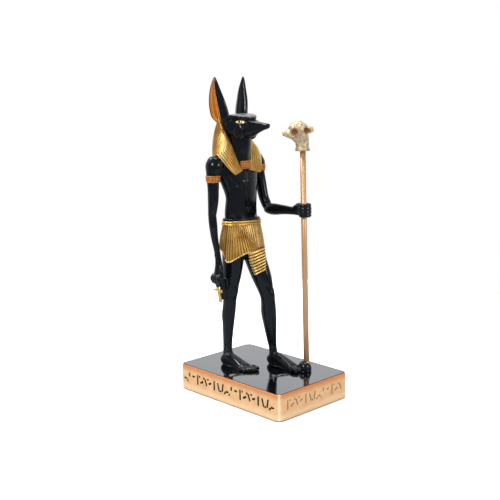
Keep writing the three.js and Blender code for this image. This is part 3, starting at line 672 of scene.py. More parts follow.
def carry(stations, across, sides=48, steps=8, square=1.0):
    """Rings carried along the stations' smooth curve. A ring is centre + half width * cos(angle)
    across + half depth * sin(angle) deep; a square power under 1 fills out its corners."""
    path = between(stations, steps)
    centre = path[:, :3]
    along = unit(np.gradient(centre, axis=0))
    wide = unit(across - along * (along @ across)[:, None])
    deep = np.cross(along, wide)
    angle = full_turn(sides)
    u = signed_power(np.cos(angle), square)
    v = signed_power(np.sin(angle), square)
    sideways = wide[:, None] * (path[:, 3:4] * u)[..., None]
    return centre[:, None] + sideways + deep[:, None] * (path[:, 4:5] * v)[..., None]


def limb(stations, across, **sizes):
    """A closed skin over carried rings."""
    return skin(carry(stations, across, **sizes))


def ball(centre, radii, turn=0.0):
    """An ellipsoid: rings from near one pole to near the other, turned about Z."""
    polar = np.linspace(0.04, np.pi - 0.04, 20)[:, None]
    angle = full_turn(36)[None, :]
    rings = np.stack(
        [
            radii[0] * np.sin(polar) * np.cos(angle),
            radii[1] * np.sin(polar) * np.sin(angle),
            radii[2] * np.cos(polar) + 0 * angle,
        ],
        -1,
    )
    turned = np.array(Matrix.Rotation(turn, 3, "Z"))
    return skin(rings @ turned.T + np.asarray(centre))


def finger(points, radius, across, squash=1.0):
    """A round rod with rounded ends along a smooth curve through the points."""
    path = between(points, 8)
    share = np.linspace(-1, 1, len(path))
    size = radius * np.sqrt(np.maximum(1 - share**8, 0.02))
    stations = np.column_stack([path, size, size * squash])
    return skin(carry(stations, across, sides=20, steps=1))


def joined(surfaces):
    """Several skins as one surface, each with its own faces. A layer that one lacks is 0 there."""
    start = np.cumsum([0] + [len(s.points) for s in surfaces])
    names = {name for s in surfaces for name in s.layers}
    layers = {
        name: np.concatenate([s.layers.get(name, np.zeros(len(s.points))) for s in surfaces])
        for name in names
    }
    quads = [s.slots[: len(s.quads)] for s in surfaces]
    triangles = [s.slots[len(s.quads) :] for s in surfaces]
    return Surface(
        np.concatenate([s.points for s in surfaces]),
        np.concatenate([s.quads + k for s, k in zip(surfaces, start)]),
        np.concatenate([s.triangles + k for s, k in zip(surfaces, start)]),
        np.concatenate(quads + triangles),
        layers,
    )


def mesh_of(name, surface):
    """A Blender mesh of the surface, in metres, with its layers as point attributes."""
    mesh = bpy.data.meshes.new(name)
    corners = np.concatenate([surface.quads.ravel(), surface.triangles.ravel()])
    sizes = np.repeat((4, 3), (len(surface.quads), len(surface.triangles)))
    mesh.vertices.add(len(surface.points))
    mesh.vertices.foreach_set("co", (surface.points * MM).astype(np.float32).ravel())
    mesh.loops.add(len(corners))
    mesh.loops.foreach_set("vertex_index", corners.astype(np.int32))
    mesh.polygons.add(len(sizes))
    mesh.polygons.foreach_set("loop_start", (np.cumsum(sizes) - sizes).astype(np.int32))
    mesh.polygons.foreach_set("material_index", surface.slots.astype(np.int32))
    mesh.update(calc_edges=True)
    for layer, values in surface.layers.items():
        attribute = mesh.attributes.new(layer, "FLOAT", "POINT")
        attribute.data.foreach_set("value", values.astype(np.float32))
    mesh.shade_smooth()
    return mesh


def piece(name, surface, materials, node):
    """Adds the surface to the scene as a finished piece that stands for a node of the frame."""
    made = bpy.data.objects.new(name, mesh_of(name, surface))
    bpy.context.scene.collection.objects.link(made)
    for material in materials:
        made.data.materials.append(material)
    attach(made, "root")
    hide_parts(node)


def fused(surfaces, voxel):
    """One skin round overlapping skins: Blender's voxel remesh, read back as a surface."""
    rough = bpy.data.objects.new("rough", mesh_of("rough", joined(surfaces)))
    bpy.context.scene.collection.objects.link(rough)
    remesh = rough.modifiers.new("Fuse", "REMESH")
    remesh.mode = "VOXEL"
    remesh.voxel_size = voxel
    graph = bpy.context.evaluated_depsgraph_get()
    mesh = rough.evaluated_get(graph).to_mesh()
    points = np.empty(len(mesh.vertices) * 3, np.float32)
    mesh.vertices.foreach_get("co", points)
    quads = np.empty(len(mesh.polygons) * 4, np.int32)
    mesh.polygons.foreach_get("vertices", quads)
    made = Surface(points.reshape(-1, 3) / MM, quads.reshape(-1, 4))
    rough.evaluated_get(graph).to_mesh_clear()
    old = rough.data
    bpy.data.objects.remove(rough)
    bpy.data.meshes.remove(old)
    return made


def relaxed(surface, rounds):
    """Evens a surface without shrinking it. A round moves every point half way to the mean of its
    neighbours, and then a little further back."""
    q = surface.quads
    start = np.concatenate([q[:, 0], q[:, 1], q[:, 2], q[:, 3]])
    stop = np.concatenate([q[:, 1], q[:, 2], q[:, 3], q[:, 0]])
    count = len(surface.points)
    share = np.maximum(np.bincount(start, minlength=count), 1)[:, None]
    for _ in range(rounds):
        for step in (0.5, -0.52):
            ends = surface.points[stop]
            mean = np.stack([np.bincount(start, ends[:, k], count) for k in range(3)], -1) / share
            surface.points = surface.points + (mean - surface.points) * step
    return surface


def distance(points, path):
    """Distance from each point to a path whose points are joined by straight lines."""
    path = np.asarray(path, float).reshape(-1, 3)
    if len(path) == 1:
        return np.linalg.norm(points - path[0], axis=1)
    nearest = np.full(len(points), np.inf)
    for a, b in zip(path[:-1], path[1:]):
        share = np.clip((points - a) @ (b - a) / ((b - a) @ (b - a)), 0, 1)
        gap = points - a - share[:, None] * (b - a)
        nearest = np.minimum(nearest, np.linalg.norm(gap, axis=1))
    return nearest


def pressed(surface, marks):
    """Raises or sinks a surface along its normals by the sum of its marks. A mark is a height, a
    width and a path, and lifts by height * exp(-(distance to the path / width) squared)."""
    lift = np.zeros(len(surface.points))
    for height, width, *path in marks:
        lift += height * bell(distance(surface.points, path), 0, width)
    surface.points = surface.points + surface.normals() * lift[:, None]
    return surface


def mirrored(marks):
    """The marks of one side and the same marks on the other side of the mid-plane."""
    other = []
    for height, width, *path in marks:
        other.append((height, width, *[(2 * MID_X - x, y, z) for x, y, z in path]))
    return [*marks, *other]


def ramp(value, low, high):
    """0 below low, 1 above high, and a smooth step between them."""
    t = np.clip((value - low) / (high - low), 0, 1)
    return t * t * (3 - 2 * t)


def groove(count, width):
    """1 in the groove at each whole number and 0 away from it, by a bell of the given width."""
    return bell(count, np.round(count), width)


# Materials


def add(tree, kind, inputs=None, **settings):
    """Adds a node: settings are its properties, an input is a value or another node's socket."""
    node = tree.nodes.new(kind)
    for name, value in settings.items():
        setattr(node, name, value)
    for name, value in (inputs or {}).items():
        if isinstance(value, bpy.types.NodeSocket):
            tree.links.new(value, node.inputs[name])
        else:
            node.inputs[name].default_value = value
    return node


def start_material(name):
    """An empty material with its shader and Object coordinates: (material, tree, shader, place)."""
    material = bpy.data.materials.new(name)
    material.use_nodes = True
    tree = material.node_tree
    tree.nodes.clear()
    shader = add(tree, "ShaderNodeBsdfPrincipled")
    add(tree, "ShaderNodeOutputMaterial", {"Surface": shader.outputs["BSDF"]})
    place = add(tree, "ShaderNodeTexCoord").outputs["Object"]
    return material, tree, shader, place


def speckle(tree, place, size, detail=3.0, roughness=0.55):
    """Noise whose patches are about size millimetres across."""
    inputs = {"Vector": place, "Scale": 1 / (size * MM), "Detail": detail, "Roughness": roughness}
    return add(tree, "ShaderNodeTexNoise", inputs).outputs["Fac"]


def remap(tree, value, low, high, to_low, to_high):
    """A value moved from one range to another, held at the range's ends."""
    ends = {"From Min": low, "From Max": high, "To Min": to_low, "To Max": to_high}
    return add(tree, "ShaderNodeMapRange", {"Value": value, **ends}).outputs["Result"]


def combined(tree, operation, first, second):
    """Two values combined: their sum, their product or the larger one."""
    return add(tree, "ShaderNodeMath", {0: first, 1: second}, operation=operation).outputs[0]


def blend_colours(tree, factor, first, second):
    """A mix of two colours by a factor."""
    # Of the node's many sockets, a colour mix uses inputs 0, 6 and 7 and output 2.
    inputs = {0: factor, 6: first, 7: second}
    return add(tree, "ShaderNodeMix", inputs, data_type="RGBA").outputs[2]


def layer_value(tree, name):
    """The value of one of the piece's own point layers."""
    return add(tree, "ShaderNodeAttribute", attribute_name=name).outputs["Fac"]


def by_height(tree, place, band, below, above):
    """A value that goes from one below a band of heights to another above it."""
    height = add(tree, "ShaderNodeSeparateXYZ", {"Vector": place}).outputs["Z"]
    return remap(tree, height, band[0] * MM, band[1] * MM, below, above)


def bump(tree, height, depth):
    """A bump whose full height is depth millimetres."""
    inputs = {"Height": height, "Distance": depth * MM}
    return add(tree, "ShaderNodeBump", inputs).outputs["Normal"]


def link(tree, socket, shader, name):
    """Links a socket to the shader's named input."""
    tree.links.new(socket, shader.inputs[name])


def black_lacquer():
    """Black gloss paint sprayed on cast resin: a near mirror with faint orange peel, a little
    softer in broad patches where it was handled."""
    material, tree, shader, place = start_material("black_gloss_lacquer")
    shader.inputs["Base Color"].default_value = bpy.context.scene.statuette_colours.lacquer
    shader.inputs["IOR"].default_value = LACQUER_IOR
    patches = speckle(tree, place, 14)
    link(tree, remap(tree, patches, 0.3, 0.7, 0.12, 0.22), shader, "Roughness")
    # Orange peel of a real 0.5 mm, drawn at 1.4 mm so that it shows.
    link(tree, bump(tree, speckle(tree, place, 1.4, 2.0), 0.02), shader, "Normal")
    return material


def antique_gold(name="antique_gold_paint", wash=0.8):
    """Brushed gold paint with a brown wash: brown left in the grooves, and cloudy patches where the
    wash was wiped off unevenly. A painted highlight lightens crests and raised edges, and the same
    brown is painted shade behind the headdress's creases."""
    colours = bpy.context.scene.statuette_colours
    material, tree, shader, place = start_material(name)
    cloud = speckle(tree, place, 7)
    grain = speckle(tree, place, 0.7)
    patches = remap(tree, cloud, 0.35, 0.68, 0, 1)
    light = blend_colours(tree, patches, colours.gold, linear("#a06c26"))
    flakes = remap(tree, grain, 0.52, 0.78, 0, 0.5)
    warm = blend_colours(tree, flakes, light, linear("#ecca7e"))
    # Brown in the grooves; on the headdress the same layer also holds painted shade behind each
    # crease.
    depth = remap(tree, layer_value(tree, "recess"), 0.2, 0.95, 0, wash)
    # Painted highlight: the crest layer lightens crests and raised edges towards pale gold.
    painted_highlight = remap(tree, layer_value(tree, "crest"), 0, 1, 0, 0.8)
    crested = blend_colours(tree, painted_highlight, warm, linear("#f6d894"))
    link(tree, blend_colours(tree, depth, crested, colours.gold_shade), shader, "Base Color")
    shader.inputs["Metallic"].default_value = 0.85
    link(tree, remap(tree, cloud, 0.3, 0.7, 0.3, 0.46), shader, "Roughness")
    link(tree, bump(tree, speckle(tree, place, 0.35), 0.03), shader, "Normal")
    return material


def copper_paint():
    """Copper paint brushed on the bands: dull orange metal, brown between its cells."""
    colours = bpy.context.scene.statuette_colours
    material, tree, shader, place = start_material("copper_paint")
    cloud = remap(tree, speckle(tree, place, 2.5), 0.35, 0.7, 0, 0.6)
    tone = blend_colours(tree, cloud, colours.copper, linear("#bd824a"))
    depth = remap(tree, layer_value(tree, "recess"), 0.25, 0.9, 0, 0.9)
    link(tree, blend_colours(tree, depth, tone, linear("#452310")), shader, "Base Color")
    shader.inputs["Metallic"].default_value = 0.6
    shader.inputs["Roughness"].default_value = 0.42
    link(tree, bump(tree, speckle(tree, place, 0.4), 0.03), shader, "Normal")
    return material


def painted_ear():
    """Black gloss lacquer with the hollow brushed orange, darkened by painted shade between its
    ridges, and paler towards the tip."""
    colours = bpy.context.scene.statuette_colours
    material, tree, shader, place = start_material("lacquer_and_orange_lining")
    inside = remap(tree, layer_value(tree, "lining"), 0.26, 0.34, 0, 1)
    cloud = remap(tree, speckle(tree, place, 3), 0.3, 0.7, 0, 0.55)
    tone = blend_colours(tree, cloud, colours.lining, linear("#dd9a48"))
    # Painted shade in the hollow, away from its ridges.
    shade = remap(tree, layer_value(tree, "recess"), 0.2, 0.95, 0, 0.75)
    worn = blend_colours(tree, by_height(tree, place, EAR_PALER, 0, 0.7), tone, linear("#b08d5e"))
    lining = blend_colours(tree, shade, worn, linear("#8a4210"))
    link(tree, blend_colours(tree, inside, colours.lacquer, lining), shader, "Base Color")
    link(tree, remap(tree, inside, 0, 1, 0, 0.35), shader, "Metallic")
    link(tree, remap(tree, inside, 0, 1, 0.18, 0.42), shader, "Roughness")
    shader.inputs["IOR"].default_value = LACQUER_IOR
    link(tree, bump(tree, speckle(tree, place, 0.8), 0.02), shader, "Normal")
    return material


def painted_head():
    """Black gloss lacquer with the eye's lids lined in gold and its white in pale gold, and a
    painted grey highlight brushed over the top of the brow."""
    colours = bpy.context.scene.statuette_colours
    material, tree, shader, place = start_material("lacquer_and_gold_lines")
    gilt = remap(tree, layer_value(tree, "gilt"), 0.42, 0.58, 0, 1)
    white = remap(tree, layer_value(tree, "white"), 0.42, 0.58, 0, 1)
    # Painted highlight: a grey sheen on the upward faces of the brow's top.
    dust = layer_value(tree, "dust")
    brushed = remap(tree, speckle(tree, place, 1.2), 0.38, 0.66, 0.4, 0.9)
    grey = combined(tree, "MULTIPLY", dust, brushed)
    skin_tone = blend_colours(tree, grey, colours.lacquer, linear("#74736e"))
    lined = blend_colours(tree, gilt, skin_tone, linear("#9a7236"))
    link(tree, blend_colours(tree, white, lined, linear("#d6c8a4")), shader, "Base Color")
    painted = combined(tree, "MAXIMUM", gilt, white)
    link(tree, remap(tree, painted, 0, 1, 0, 0.6), shader, "Metallic")
    link(tree, remap(tree, painted, 0, 1, 0.18, 0.36), shader, "Roughness")
    shader.inputs["IOR"].default_value = LACQUER_IOR
    link(tree, bump(tree, speckle(tree, place, 1.2), 0.02), shader, "Normal")
    return material


def champagne_gilt():
    """Satin champagne gilding on the plinth's cast sides: fine pitting, a painted coppery
    reflection along the top edge, paler at the foot, a painted highlight down the middle of each
    rounded corner, dark brown ink in the strokes, a dark line along the top edge and painted shadow
    along the bottom edge."""
    colours = bpy.context.scene.statuette_colours
    material, tree, shader, place = start_material("champagne_gilding")
    cloud = remap(tree, speckle(tree, place, 5), 0.3, 0.7, 0, 0.8)
    body = blend_colours(tree, cloud, colours.champagne, linear("#bd9064"))
    foot_pale = by_height(tree, place, FOOT_BAND, 0.8, 0)
    pale = blend_colours(tree, foot_pale, body, linear("#d4b48e"))
    # Painted reflection: coppery along the top edge.
    coppery_reflection = by_height(tree, place, TOP_REFLECTION_BAND, 0, 1)
    warm = blend_colours(tree, coppery_reflection, pale, linear("#b06f43"))
    # Painted highlight down the middle of each rounded corner.
    bright = remap(tree, layer_value(tree, "worn"), 0, 1, 0, 0.5)
    painted_highlight = blend_colours(tree, bright, warm, linear("#f4e2c6"))
    ink = remap(tree, layer_value(tree, "ink"), 0.3, 0.6, 0, 1)
    # Painted shadow along the bottom edge, joined with the ink of the strokes.
    dark = combined(tree, "MAXIMUM", ink, by_height(tree, place, FOOT_SHADOW, 0.7, 0))
    link(tree, blend_colours(tree, dark, painted_highlight, linear("#1c0f06")), shader, "Base Color")
    link(tree, remap(tree, ink, 0, 1, 0.35, 0), shader, "Metallic")
    shader.inputs["IOR"].default_value = GILDING_IOR
    link(tree, remap(tree, speckle(tree, place, 1.5), 0.3, 0.7, 0.3, 0.44), shader, "Roughness")
    # Casting grain of about 0.4 mm.
    link(tree, bump(tree, speckle(tree, place, 0.4), 0.035), shader, "Normal")
    return material


def polished_black():
    """The plinth's flat top: black nickel polished to a mirror, so that the white room lies on it
    as an even grey and the feet are doubled."""
    material, tree, shader, place = start_material("polished_black_nickel")
    shader.inputs["Base Color"].default_value = bpy.context.scene.statuette_colours.nickel
    shader.inputs["Metallic"].default_value = 1.0
    link(tree, remap(tree, speckle(tree, place, 16), 0.3, 0.7, 0.05, 0.1), shader, "Roughness")
    link(tree, bump(tree, speckle(tree, place, 9, 1.0), 0.02), shader, "Normal")
    return material


def rose_copper():
    """The rod: drawn rose copper with a satin varnish and faint marks along its length."""
    colours = bpy.context.scene.statuette_colours
    material, tree, shader, place = start_material("drawn_rose_copper")
    stretch = {"Vector": place, "Scale": (1, 1, 0.04)}
    drawn = speckle(tree, add(tree, "ShaderNodeMapping", stretch).outputs["Vector"], 0.5)
    tone = remap(tree, drawn, 0.3, 0.7, 0, 0.6)
    link(tree, blend_colours(tree, tone, colours.rod, linear("#d3a980")), shader, "Base Color")
    shader.inputs["Metallic"].default_value = 0.72
    link(tree, remap(tree, drawn, 0.3, 0.7, 0.4, 0.5), shader, "Roughness")
    link(tree, bump(tree, drawn, 0.01), shader, "Normal")
    return material


def mottled_gold():
    """Pale gold leaf on the staff's cast head: rough, mottled grey and beige, brown in hollows."""
    colours = bpy.context.scene.statuette_colours
    material, tree, shader, place = start_material("mottled_pale_gold")
    mottle = remap(tree, speckle(tree, place, 1.6, 4.0, 0.7), 0.38, 0.66, 0, 1)
    tone = blend_colours(tree, mottle, colours.pale_gold, linear("#7c684c"))
    fine = remap(tree, speckle(tree, place, 0.7, 4.0, 0.7), 0.5, 0.72, 0, 0.8)
    bright = blend_colours(tree, fine, tone, linear("#dccfb4"))
    hollow = remap(tree, layer_value(tree, "recess"), 0.25, 0.7, 0, 1)
    link(tree, blend_colours(tree, hollow, bright, linear("#6e4218")), shader, "Base Color")
    shader.inputs["Metallic"].default_value = 0.55
    link(tree, remap(tree, mottle, 0, 1, 0.3, 0.55), shader, "Roughness")
    link(tree, bump(tree, speckle(tree, place, 0.9, 4.0, 0.6), 0.2), shader, "Normal")
    return material


# Body


def relief_of_torso():
    """Marks on the trunk: pectorals, breastbone, rib arch, navel, spine and shoulder blades."""
    right = [
        (-0.22, 0.9, (-13.9, 12.2, 112.6), (-11.8, 10.3, 109.1), (-9.8, 9, 106), (-7.5, 8, 105.3)),
        (0.22, 0.8, (-12.6, 12.0, 103.4), (-11.6, 11.2, 98.3), (-11.3, 11.3, 93.0)),
        (0.3, 1.4, (-10.2, 9.3, 91.6)),
    ]
    left = [
        (-0.22, 0.9, (5.2, 8.4, 102.6), (7.3, 10.1, 103.6), (8.4, 10.7, 107.4)),
    ]
    both = [
        (-0.3, 1.1, (-9.4, 9.6, 116.0), (-12.6, 10.3, 112.6)),
        (0.3, 0.9, (-4.5, 9.6, 117.6), (-9.5, 10.6, 118.6), (-14.0, 12.2, 119.2)),
        (-0.25, 1.3, (-10.6, 8.9, 89.6), (-8.0, 7.2, 88.4)),
        (0.35, 2.6, (-8.0, 19.6, 112.0)),
        (-0.3, 1.2, (-5.2, 19.6, 114.0), (-5.0, 19.0, 108.0)),
        (-0.3, 1.4, (-5.6, 17.0, 90.0)),
    ]
    middle = [
        (-0.3, 0.8, (-2, 8.2, 113.5), (-2, 7.4, 107.4)),
        (0.22, 0.7, (-3.6, 7.3, 106.7), (-3.4, 7.2, 105.0)),
        (-0.14, 0.8, (-2, 6.8, 102.0), (-2, 6.8, 95.5)),
        (-0.3, 0.75, (-2.1, 6.8, 93.0)),
        (-0.5, 1.3, (-2, 20.2, 114), (-2, 17.6, 100), (-2, 16.9, 89)),
    ]
    return [*right, *left, *mirrored(both), *middle]


def relief_of_arms():
    """Marks on the arms: the shoulder's round cap, elbow bones, wrists, knuckles."""
    return [
        (0.35, 2.2, (-19.6, 13.2, 114.6)),
        (-0.25, 1.2, (-20.6, 12.6, 108.6), (-21.2, 13.2, 104.0)),
        (0.3, 1.8, (-20.2, 12.4, 100.0)),
        (0.35, 1.0, (-19.6, 16.6, 91.6)),
        (-0.2, 0.9, (-17.8, 11.9, 91.2)),
        (0.25, 1.6, (-20.4, 13.0, 85.6)),
        (0.22, 0.7, (-18.6, 13.6, 71.4)),
        (0.35, 2.0, (14.8, 13.6, 114.2)),
        (0.35, 1.0, (13.8, 12.4, 90.6)),
        (0.3, 1.0, (13.6, 12.9, 92.8)),
        (0.22, 0.7, (12.0, -8.6, 94.6)),
    ]


def relief_of_legs():
    """Marks on the legs: knee caps, shins, calves, ankle bones and heel tendons."""
    right = [
        (0.3, 1.9, (-8.1, 10.7, 50.2)),
        (-0.12, 1.1, (-10.4, 11.9, 48.4), (-9.6, 11.2, 46.6)),
        (-0.12, 1.1, (-5.8, 11.9, 48.4), (-6.6, 11.2, 46.6)),
        (-0.2, 1.2, (-10.0, 9.6, 54.0), (-8.2, 9.2, 53.0), (-6.0, 9.8, 54.4)),
        (0.25, 0.8, (-8.0, 11.6, 45.5), (-8.4, 12.4, 24)),
        (0.4, 3.2, (-8.6, 17.6, 39)),
        (-0.35, 1.5, (-8.0, 17.9, 49.5)),
        (-0.25, 1.4, (-11.6, 11.0, 66), (-11.4, 12.0, 55)),
        (0.5, 0.8, (-10.3, 14.7, 19.0)),
        (0.5, 0.8, (-6.8, 14.4, 19.8)),
        (-0.3, 0.7, (-9.8, 16.2, 23), (-10.0, 16.8, 18.6)),
        (-0.3, 0.7, (-7.2, 16.2, 23), (-7.4, 16.8, 18.6)),
    ]
    left = [
        (0.3, 1.9, (6.1, -2.1, 50.2)),
        (-0.12, 1.1, (8.4, -0.9, 48.4), (7.8, -1.5, 46.6)),
        (-0.12, 1.1, (3.8, -0.9, 48.4), (4.6, -1.5, 46.6)),
        (-0.2, 1.2, (3.6, -0.6, 54.4), (5.4, -1.0, 53.0), (7.6, -0.4, 54.0)),
        (0.25, 0.8, (6.4, -2.0, 45.5), (7.8, -1.8, 24)),
        (0.3, 3.2, (7.2, 6.2, 39)),
        (-0.3, 1.5, (6.0, 6.2, 49.5)),
        (-0.25, 1.4, (8.0, 4.0, 66), (8.2, 1.6, 55)),
        (0.5, 0.8, (9.8, 0.2, 19.0)),
        (0.5, 0.8, (6.2, 0.0, 19.8)),
        (-0.25, 0.7, (9.2, 2.8, 23), (9.2, 2.9, 18.6)),
        (-0.25, 0.7, (6.7, 2.8, 23), (6.5, 2.9, 18.6)),
    ]
    return [*right, *left]


def right_fist():
    """The hanging closed hand: four fingers curled in under the palm, the thumb down in front, and
    the wedge that the hand narrows to."""
    made = [limb(FIST_TAPER, ACROSS)]
    for place in (-2.2, -0.75, 0.75, 2.2):
        y = 12.7 + place
        drop = 0.15 * abs(place)
        curl = [
            (-18.0, y, 62.2),
            (-19.3, y, 59.9 + drop),
            (-18.5, y, 57.9 + drop),
            (-16.9, y, 57.8 + drop),
            (-16.2, y, 59.8 + drop),
        ]
        made.append(finger(curl, 0.92, FORWARD))
    thumb = [(-17.4, 11.0, 66.2), (-17.6, 10.2, 63.4), (-17.4, 9.8, 60.8), (-16.8, 10.0, 58.9)]
    made.append(finger(thumb, 0.9, ACROSS))
    return made


def rod_at(z):
    """Where the rod's middle line is at a height."""
    share = (np.asarray(z, float) - ROD_FOOT[2]) / (ROD_TOP[2] - ROD_FOOT[2])
    return ROD_FOOT + share[..., None] * (ROD_TOP - ROD_FOOT)


def left_fist():
    """The hand round the rod: four stacked fingers on a circle about it, and the thumb over."""
    made = []
    for i in range(4):
        z = LEFT_FIST["low"] + i * LEFT_FIST["pitch"]
        middle = rod_at(z)[:2] + LEFT_FIST["shift"]
        angle = np.radians(40 - np.linspace(0, 250, 8))
        ring = LEFT_FIST["reach"] - 0.1 * abs(i - 1.5)
        x = middle[0] + ring * np.cos(angle)
        y = middle[1] + ring * np.sin(angle)
        curl = np.column_stack([x, y, np.full(8, z)])
        made.append(finger(curl, LEFT_FIST["radius"], UPWARD))
    thumb = [(12.9, -11.6, 95.0), (11.6, -13.6, 95.7), (10.4, -15.8, 95.9), (10.2, -17.8, 95.8)]
    made.append(finger(thumb, 1.0, UPWARD))
    palm = [
        (13.9, -13.6, 93.4, 1.5, 3.0),
        (14.4, -16.0, 93.4, 1.3, 3.2),
        (14.0, -18.2, 93.4, 1.0, 3.0),
    ]
    made.append(limb(palm, ACROSS, square=0.8))
    return made


def foot(stations, side):
    """One foot: rings along its length, and five toes laid from the ball to their round tips."""
    front = np.array(stations[-1])
    made = [limb(stations, ACROSS, steps=6, square=0.8)]
    for place, reach, half_width, half_height in TOES:
        x = front[0] - side * place
        y = front[1] - reach
        z = PLINTH_TOP + half_height
        path = [
            (x, y + 2.2, z + 0.1),
            (x, y, z + 0.25),
            (x, y - TOE_REACH * 0.6, z - 0.1),
            (x, y - TOE_REACH, z - 0.15),
        ]
        made.append(finger(path, half_width, ACROSS, half_height / half_width))
    return made


def toe_marks(stations, side):
    """Marks on the toes: a joint's dip, a groove behind the nail, the nail's own rise, and the gap
    to the next toe."""
    front = np.array(stations[-1])
    marks = []
    for place, reach, half_width, half_height in TOES:
        x = front[0] - side * place
        y = front[1] - reach
        top = PLINTH_TOP + 2 * half_height
        nail_root = [(x + end * half_width * 0.5, y - 1.0, top) for end in (-1, 1)]
        marks.append((-0.16, 0.5, (x, y + 0.6, top + 0.1)))
        marks.append((-0.14, 0.28, *nail_root))
        marks.append((0.12, 0.45, (x, y - 1.8, top - 0.1)))
    for near, far in zip(TOES[:-1], TOES[1:]):
        x = front[0] - side * (near[0] - near[2] + far[0] + far[2]) / 2
        y = front[1] - far[1]
        top = PLINTH_TOP + near[3] + far[3]
        gap = [(x, y + 1.4, top + 0.5), (x, y - TOE_REACH, top - 0.9)]
        marks.append((-0.55, 0.34, *gap))
    return marks


def upper_body():
    """Trunk, neck, arms and hands fused into one skin, evened and marked."""
    parts = [
        limb(TORSO, ACROSS, sides=72, steps=10),
        limb(YOKE, FORWARD),
        limb(NECK, ACROSS),
        limb(RIGHT_ARM, ACROSS),
        limb(LEFT_ARM, ACROSS),
        limb(LEFT_FOREARM, ACROSS),
        *right_fist(),
        *left_fist(),
    ]
    made = fused(parts, bpy.context.scene.statuette_sizes.skin_voxel)
    return pressed(relaxed(made, 5), [*relief_of_torso(), *relief_of_arms()])


def lower_body():
    """Legs, feet, the lump at the staff's foot and the web behind the ankh, fused and marked."""
    web = [
        (WEB["x"], WEB["y"], WEB["low"], WEB["half"] * 0.8, WEB["thick"] * 0.8),
        (WEB["x"], WEB["y"], WEB["low"] + 3, WEB["half"], WEB["thick"]),
        (WEB["x"], WEB["y"], WEB["high"], WEB["half"], WEB["thick"]),
    ]
    parts = [
        limb(RIGHT_LEG, ACROSS),
        limb(LEFT_LEG, ACROSS),
        *foot(RIGHT_FOOT, -1),
        *foot(LEFT_FOOT, 1),
        ball(BOSS["centre"], BOSS["radii"]),
        limb(web, ACROSS, square=0.6),
    ]
    made = fused(parts, bpy.context.scene.statuette_sizes.skin_voxel)
    marks = [*relief_of_legs(), *toe_marks(RIGHT_FOOT, -1), *toe_marks(LEFT_FOOT, 1)]
    return pressed(relaxed(made, 4), marks)


# Head


def eye_layers(surface):
    """Layers of the painted eye and the brow's painted highlight. On each side a point has a place
    along the eye and above it; the lids are the outline |above| = height * (1 - (along / half)
    squared), drawn as a thin band. The painted highlight lies on what faces up on top of the brow."""
    outside = -9.0
    gilt = np.full(len(surface.points), outside)
    white = np.full(len(surface.points), outside)
    x, y, z = surface.points.T
    outer, front, level = EYE["centre"]
    ahead = unit(np.array(EYE["ahead"]))
    for side in (-1, 1):
        out = (x - MID_X) * side
        along = (out - outer) * ahead[0] + (y - front) * ahead[1] + (z - level) * ahead[2]
        above = z - level
        near = (out > 1.5) & (y < 13)
        rise = np.where(above > 0, EYE["up"], EYE["down"])
        edge = rise * (1 - (along / EYE["half"]) ** 2)
        inside = edge - np.abs(above)
        band = EYE["line"] - np.abs(inside) * 0.8
        band = np.where(np.abs(along) < EYE["half"] + 0.3, band, outside)
        gilt = np.maximum(gilt, np.where(near, band, outside))
        pupil_along, pupil_above = EYE["pupil_at"]
        pupil = np.hypot(along - pupil_along, above - pupil_above) - EYE["pupil"]
        shown = np.minimum(inside - 0.14, pupil)
        white = np.maximum(white, np.where(near, shown, outside))
    surface.layers["gilt"] = np.clip(0.5 + gilt / EYE["fade"], 0, 1)
    surface.layers["white"] = np.clip(0.5 + white / EYE["fade"], 0, 1)
    # Painted highlight: a grey sheen where the brow's top faces up.
    facing = surface.normals()[:, 2]
    on_brow = ramp(z, 137.6, 138.6) * ramp(y, 2.0, 3.5)
    surface.layers["dust"] = ramp(facing, 0.55, 0.9) * on_brow
    return surface


def head():
    """Skull, muzzle, nose, cheeks, eyeballs and brow plate in one skin, with painted eyes."""
    parts = [
        limb(HEAD, ACROSS, sides=56, steps=10, square=0.86),
        limb(BROW, ACROSS, steps=10, square=0.62),
        limb(BRIDGE, ACROSS, steps=10, square=0.6),
        ball(*NOSE),
    ]
    for side in (-1, 1):
        for (out, y, z), radii, turn in (CHEEK, EYEBALL):
            parts.append(ball((MID_X + side * out, y, z), radii, side * turn))
    made = relaxed(fused(parts, bpy.context.scene.statuette_sizes.head_voxel), 4)
    mouth = [
        (-3.6, -6.6, 133.3),
        (-3.9, -4.0, 132.8),
        (-4.6, 0.0, 131.6),
        (-5.6, 3.6, 130.2),
        (-7.4, 6.6, 129.4),
    ]
    both = [
        (-0.28, 0.34, *mouth),
        (-0.35, 0.4, (-2.9, -8.0, 134.4)),
        (-0.3, 0.7, (-5.6, 4.2, 134.2), (-5.9, 5.2, 130.6)),
        (-0.25, 0.5, (-7.9, 5.2, 137.0), (-8.6, 8.4, 137.0)),
    ]
    middle = [
        (-0.2, 0.5, (-2, -8.4, 134.0), (-2, -8.2, 132.9)),
        (-0.25, 0.9, (-2, 2.7, 137.6), (-2, 4.2, 138.4)),
    ]
    return eye_layers(pressed(made, [*mirrored(both), *middle]))


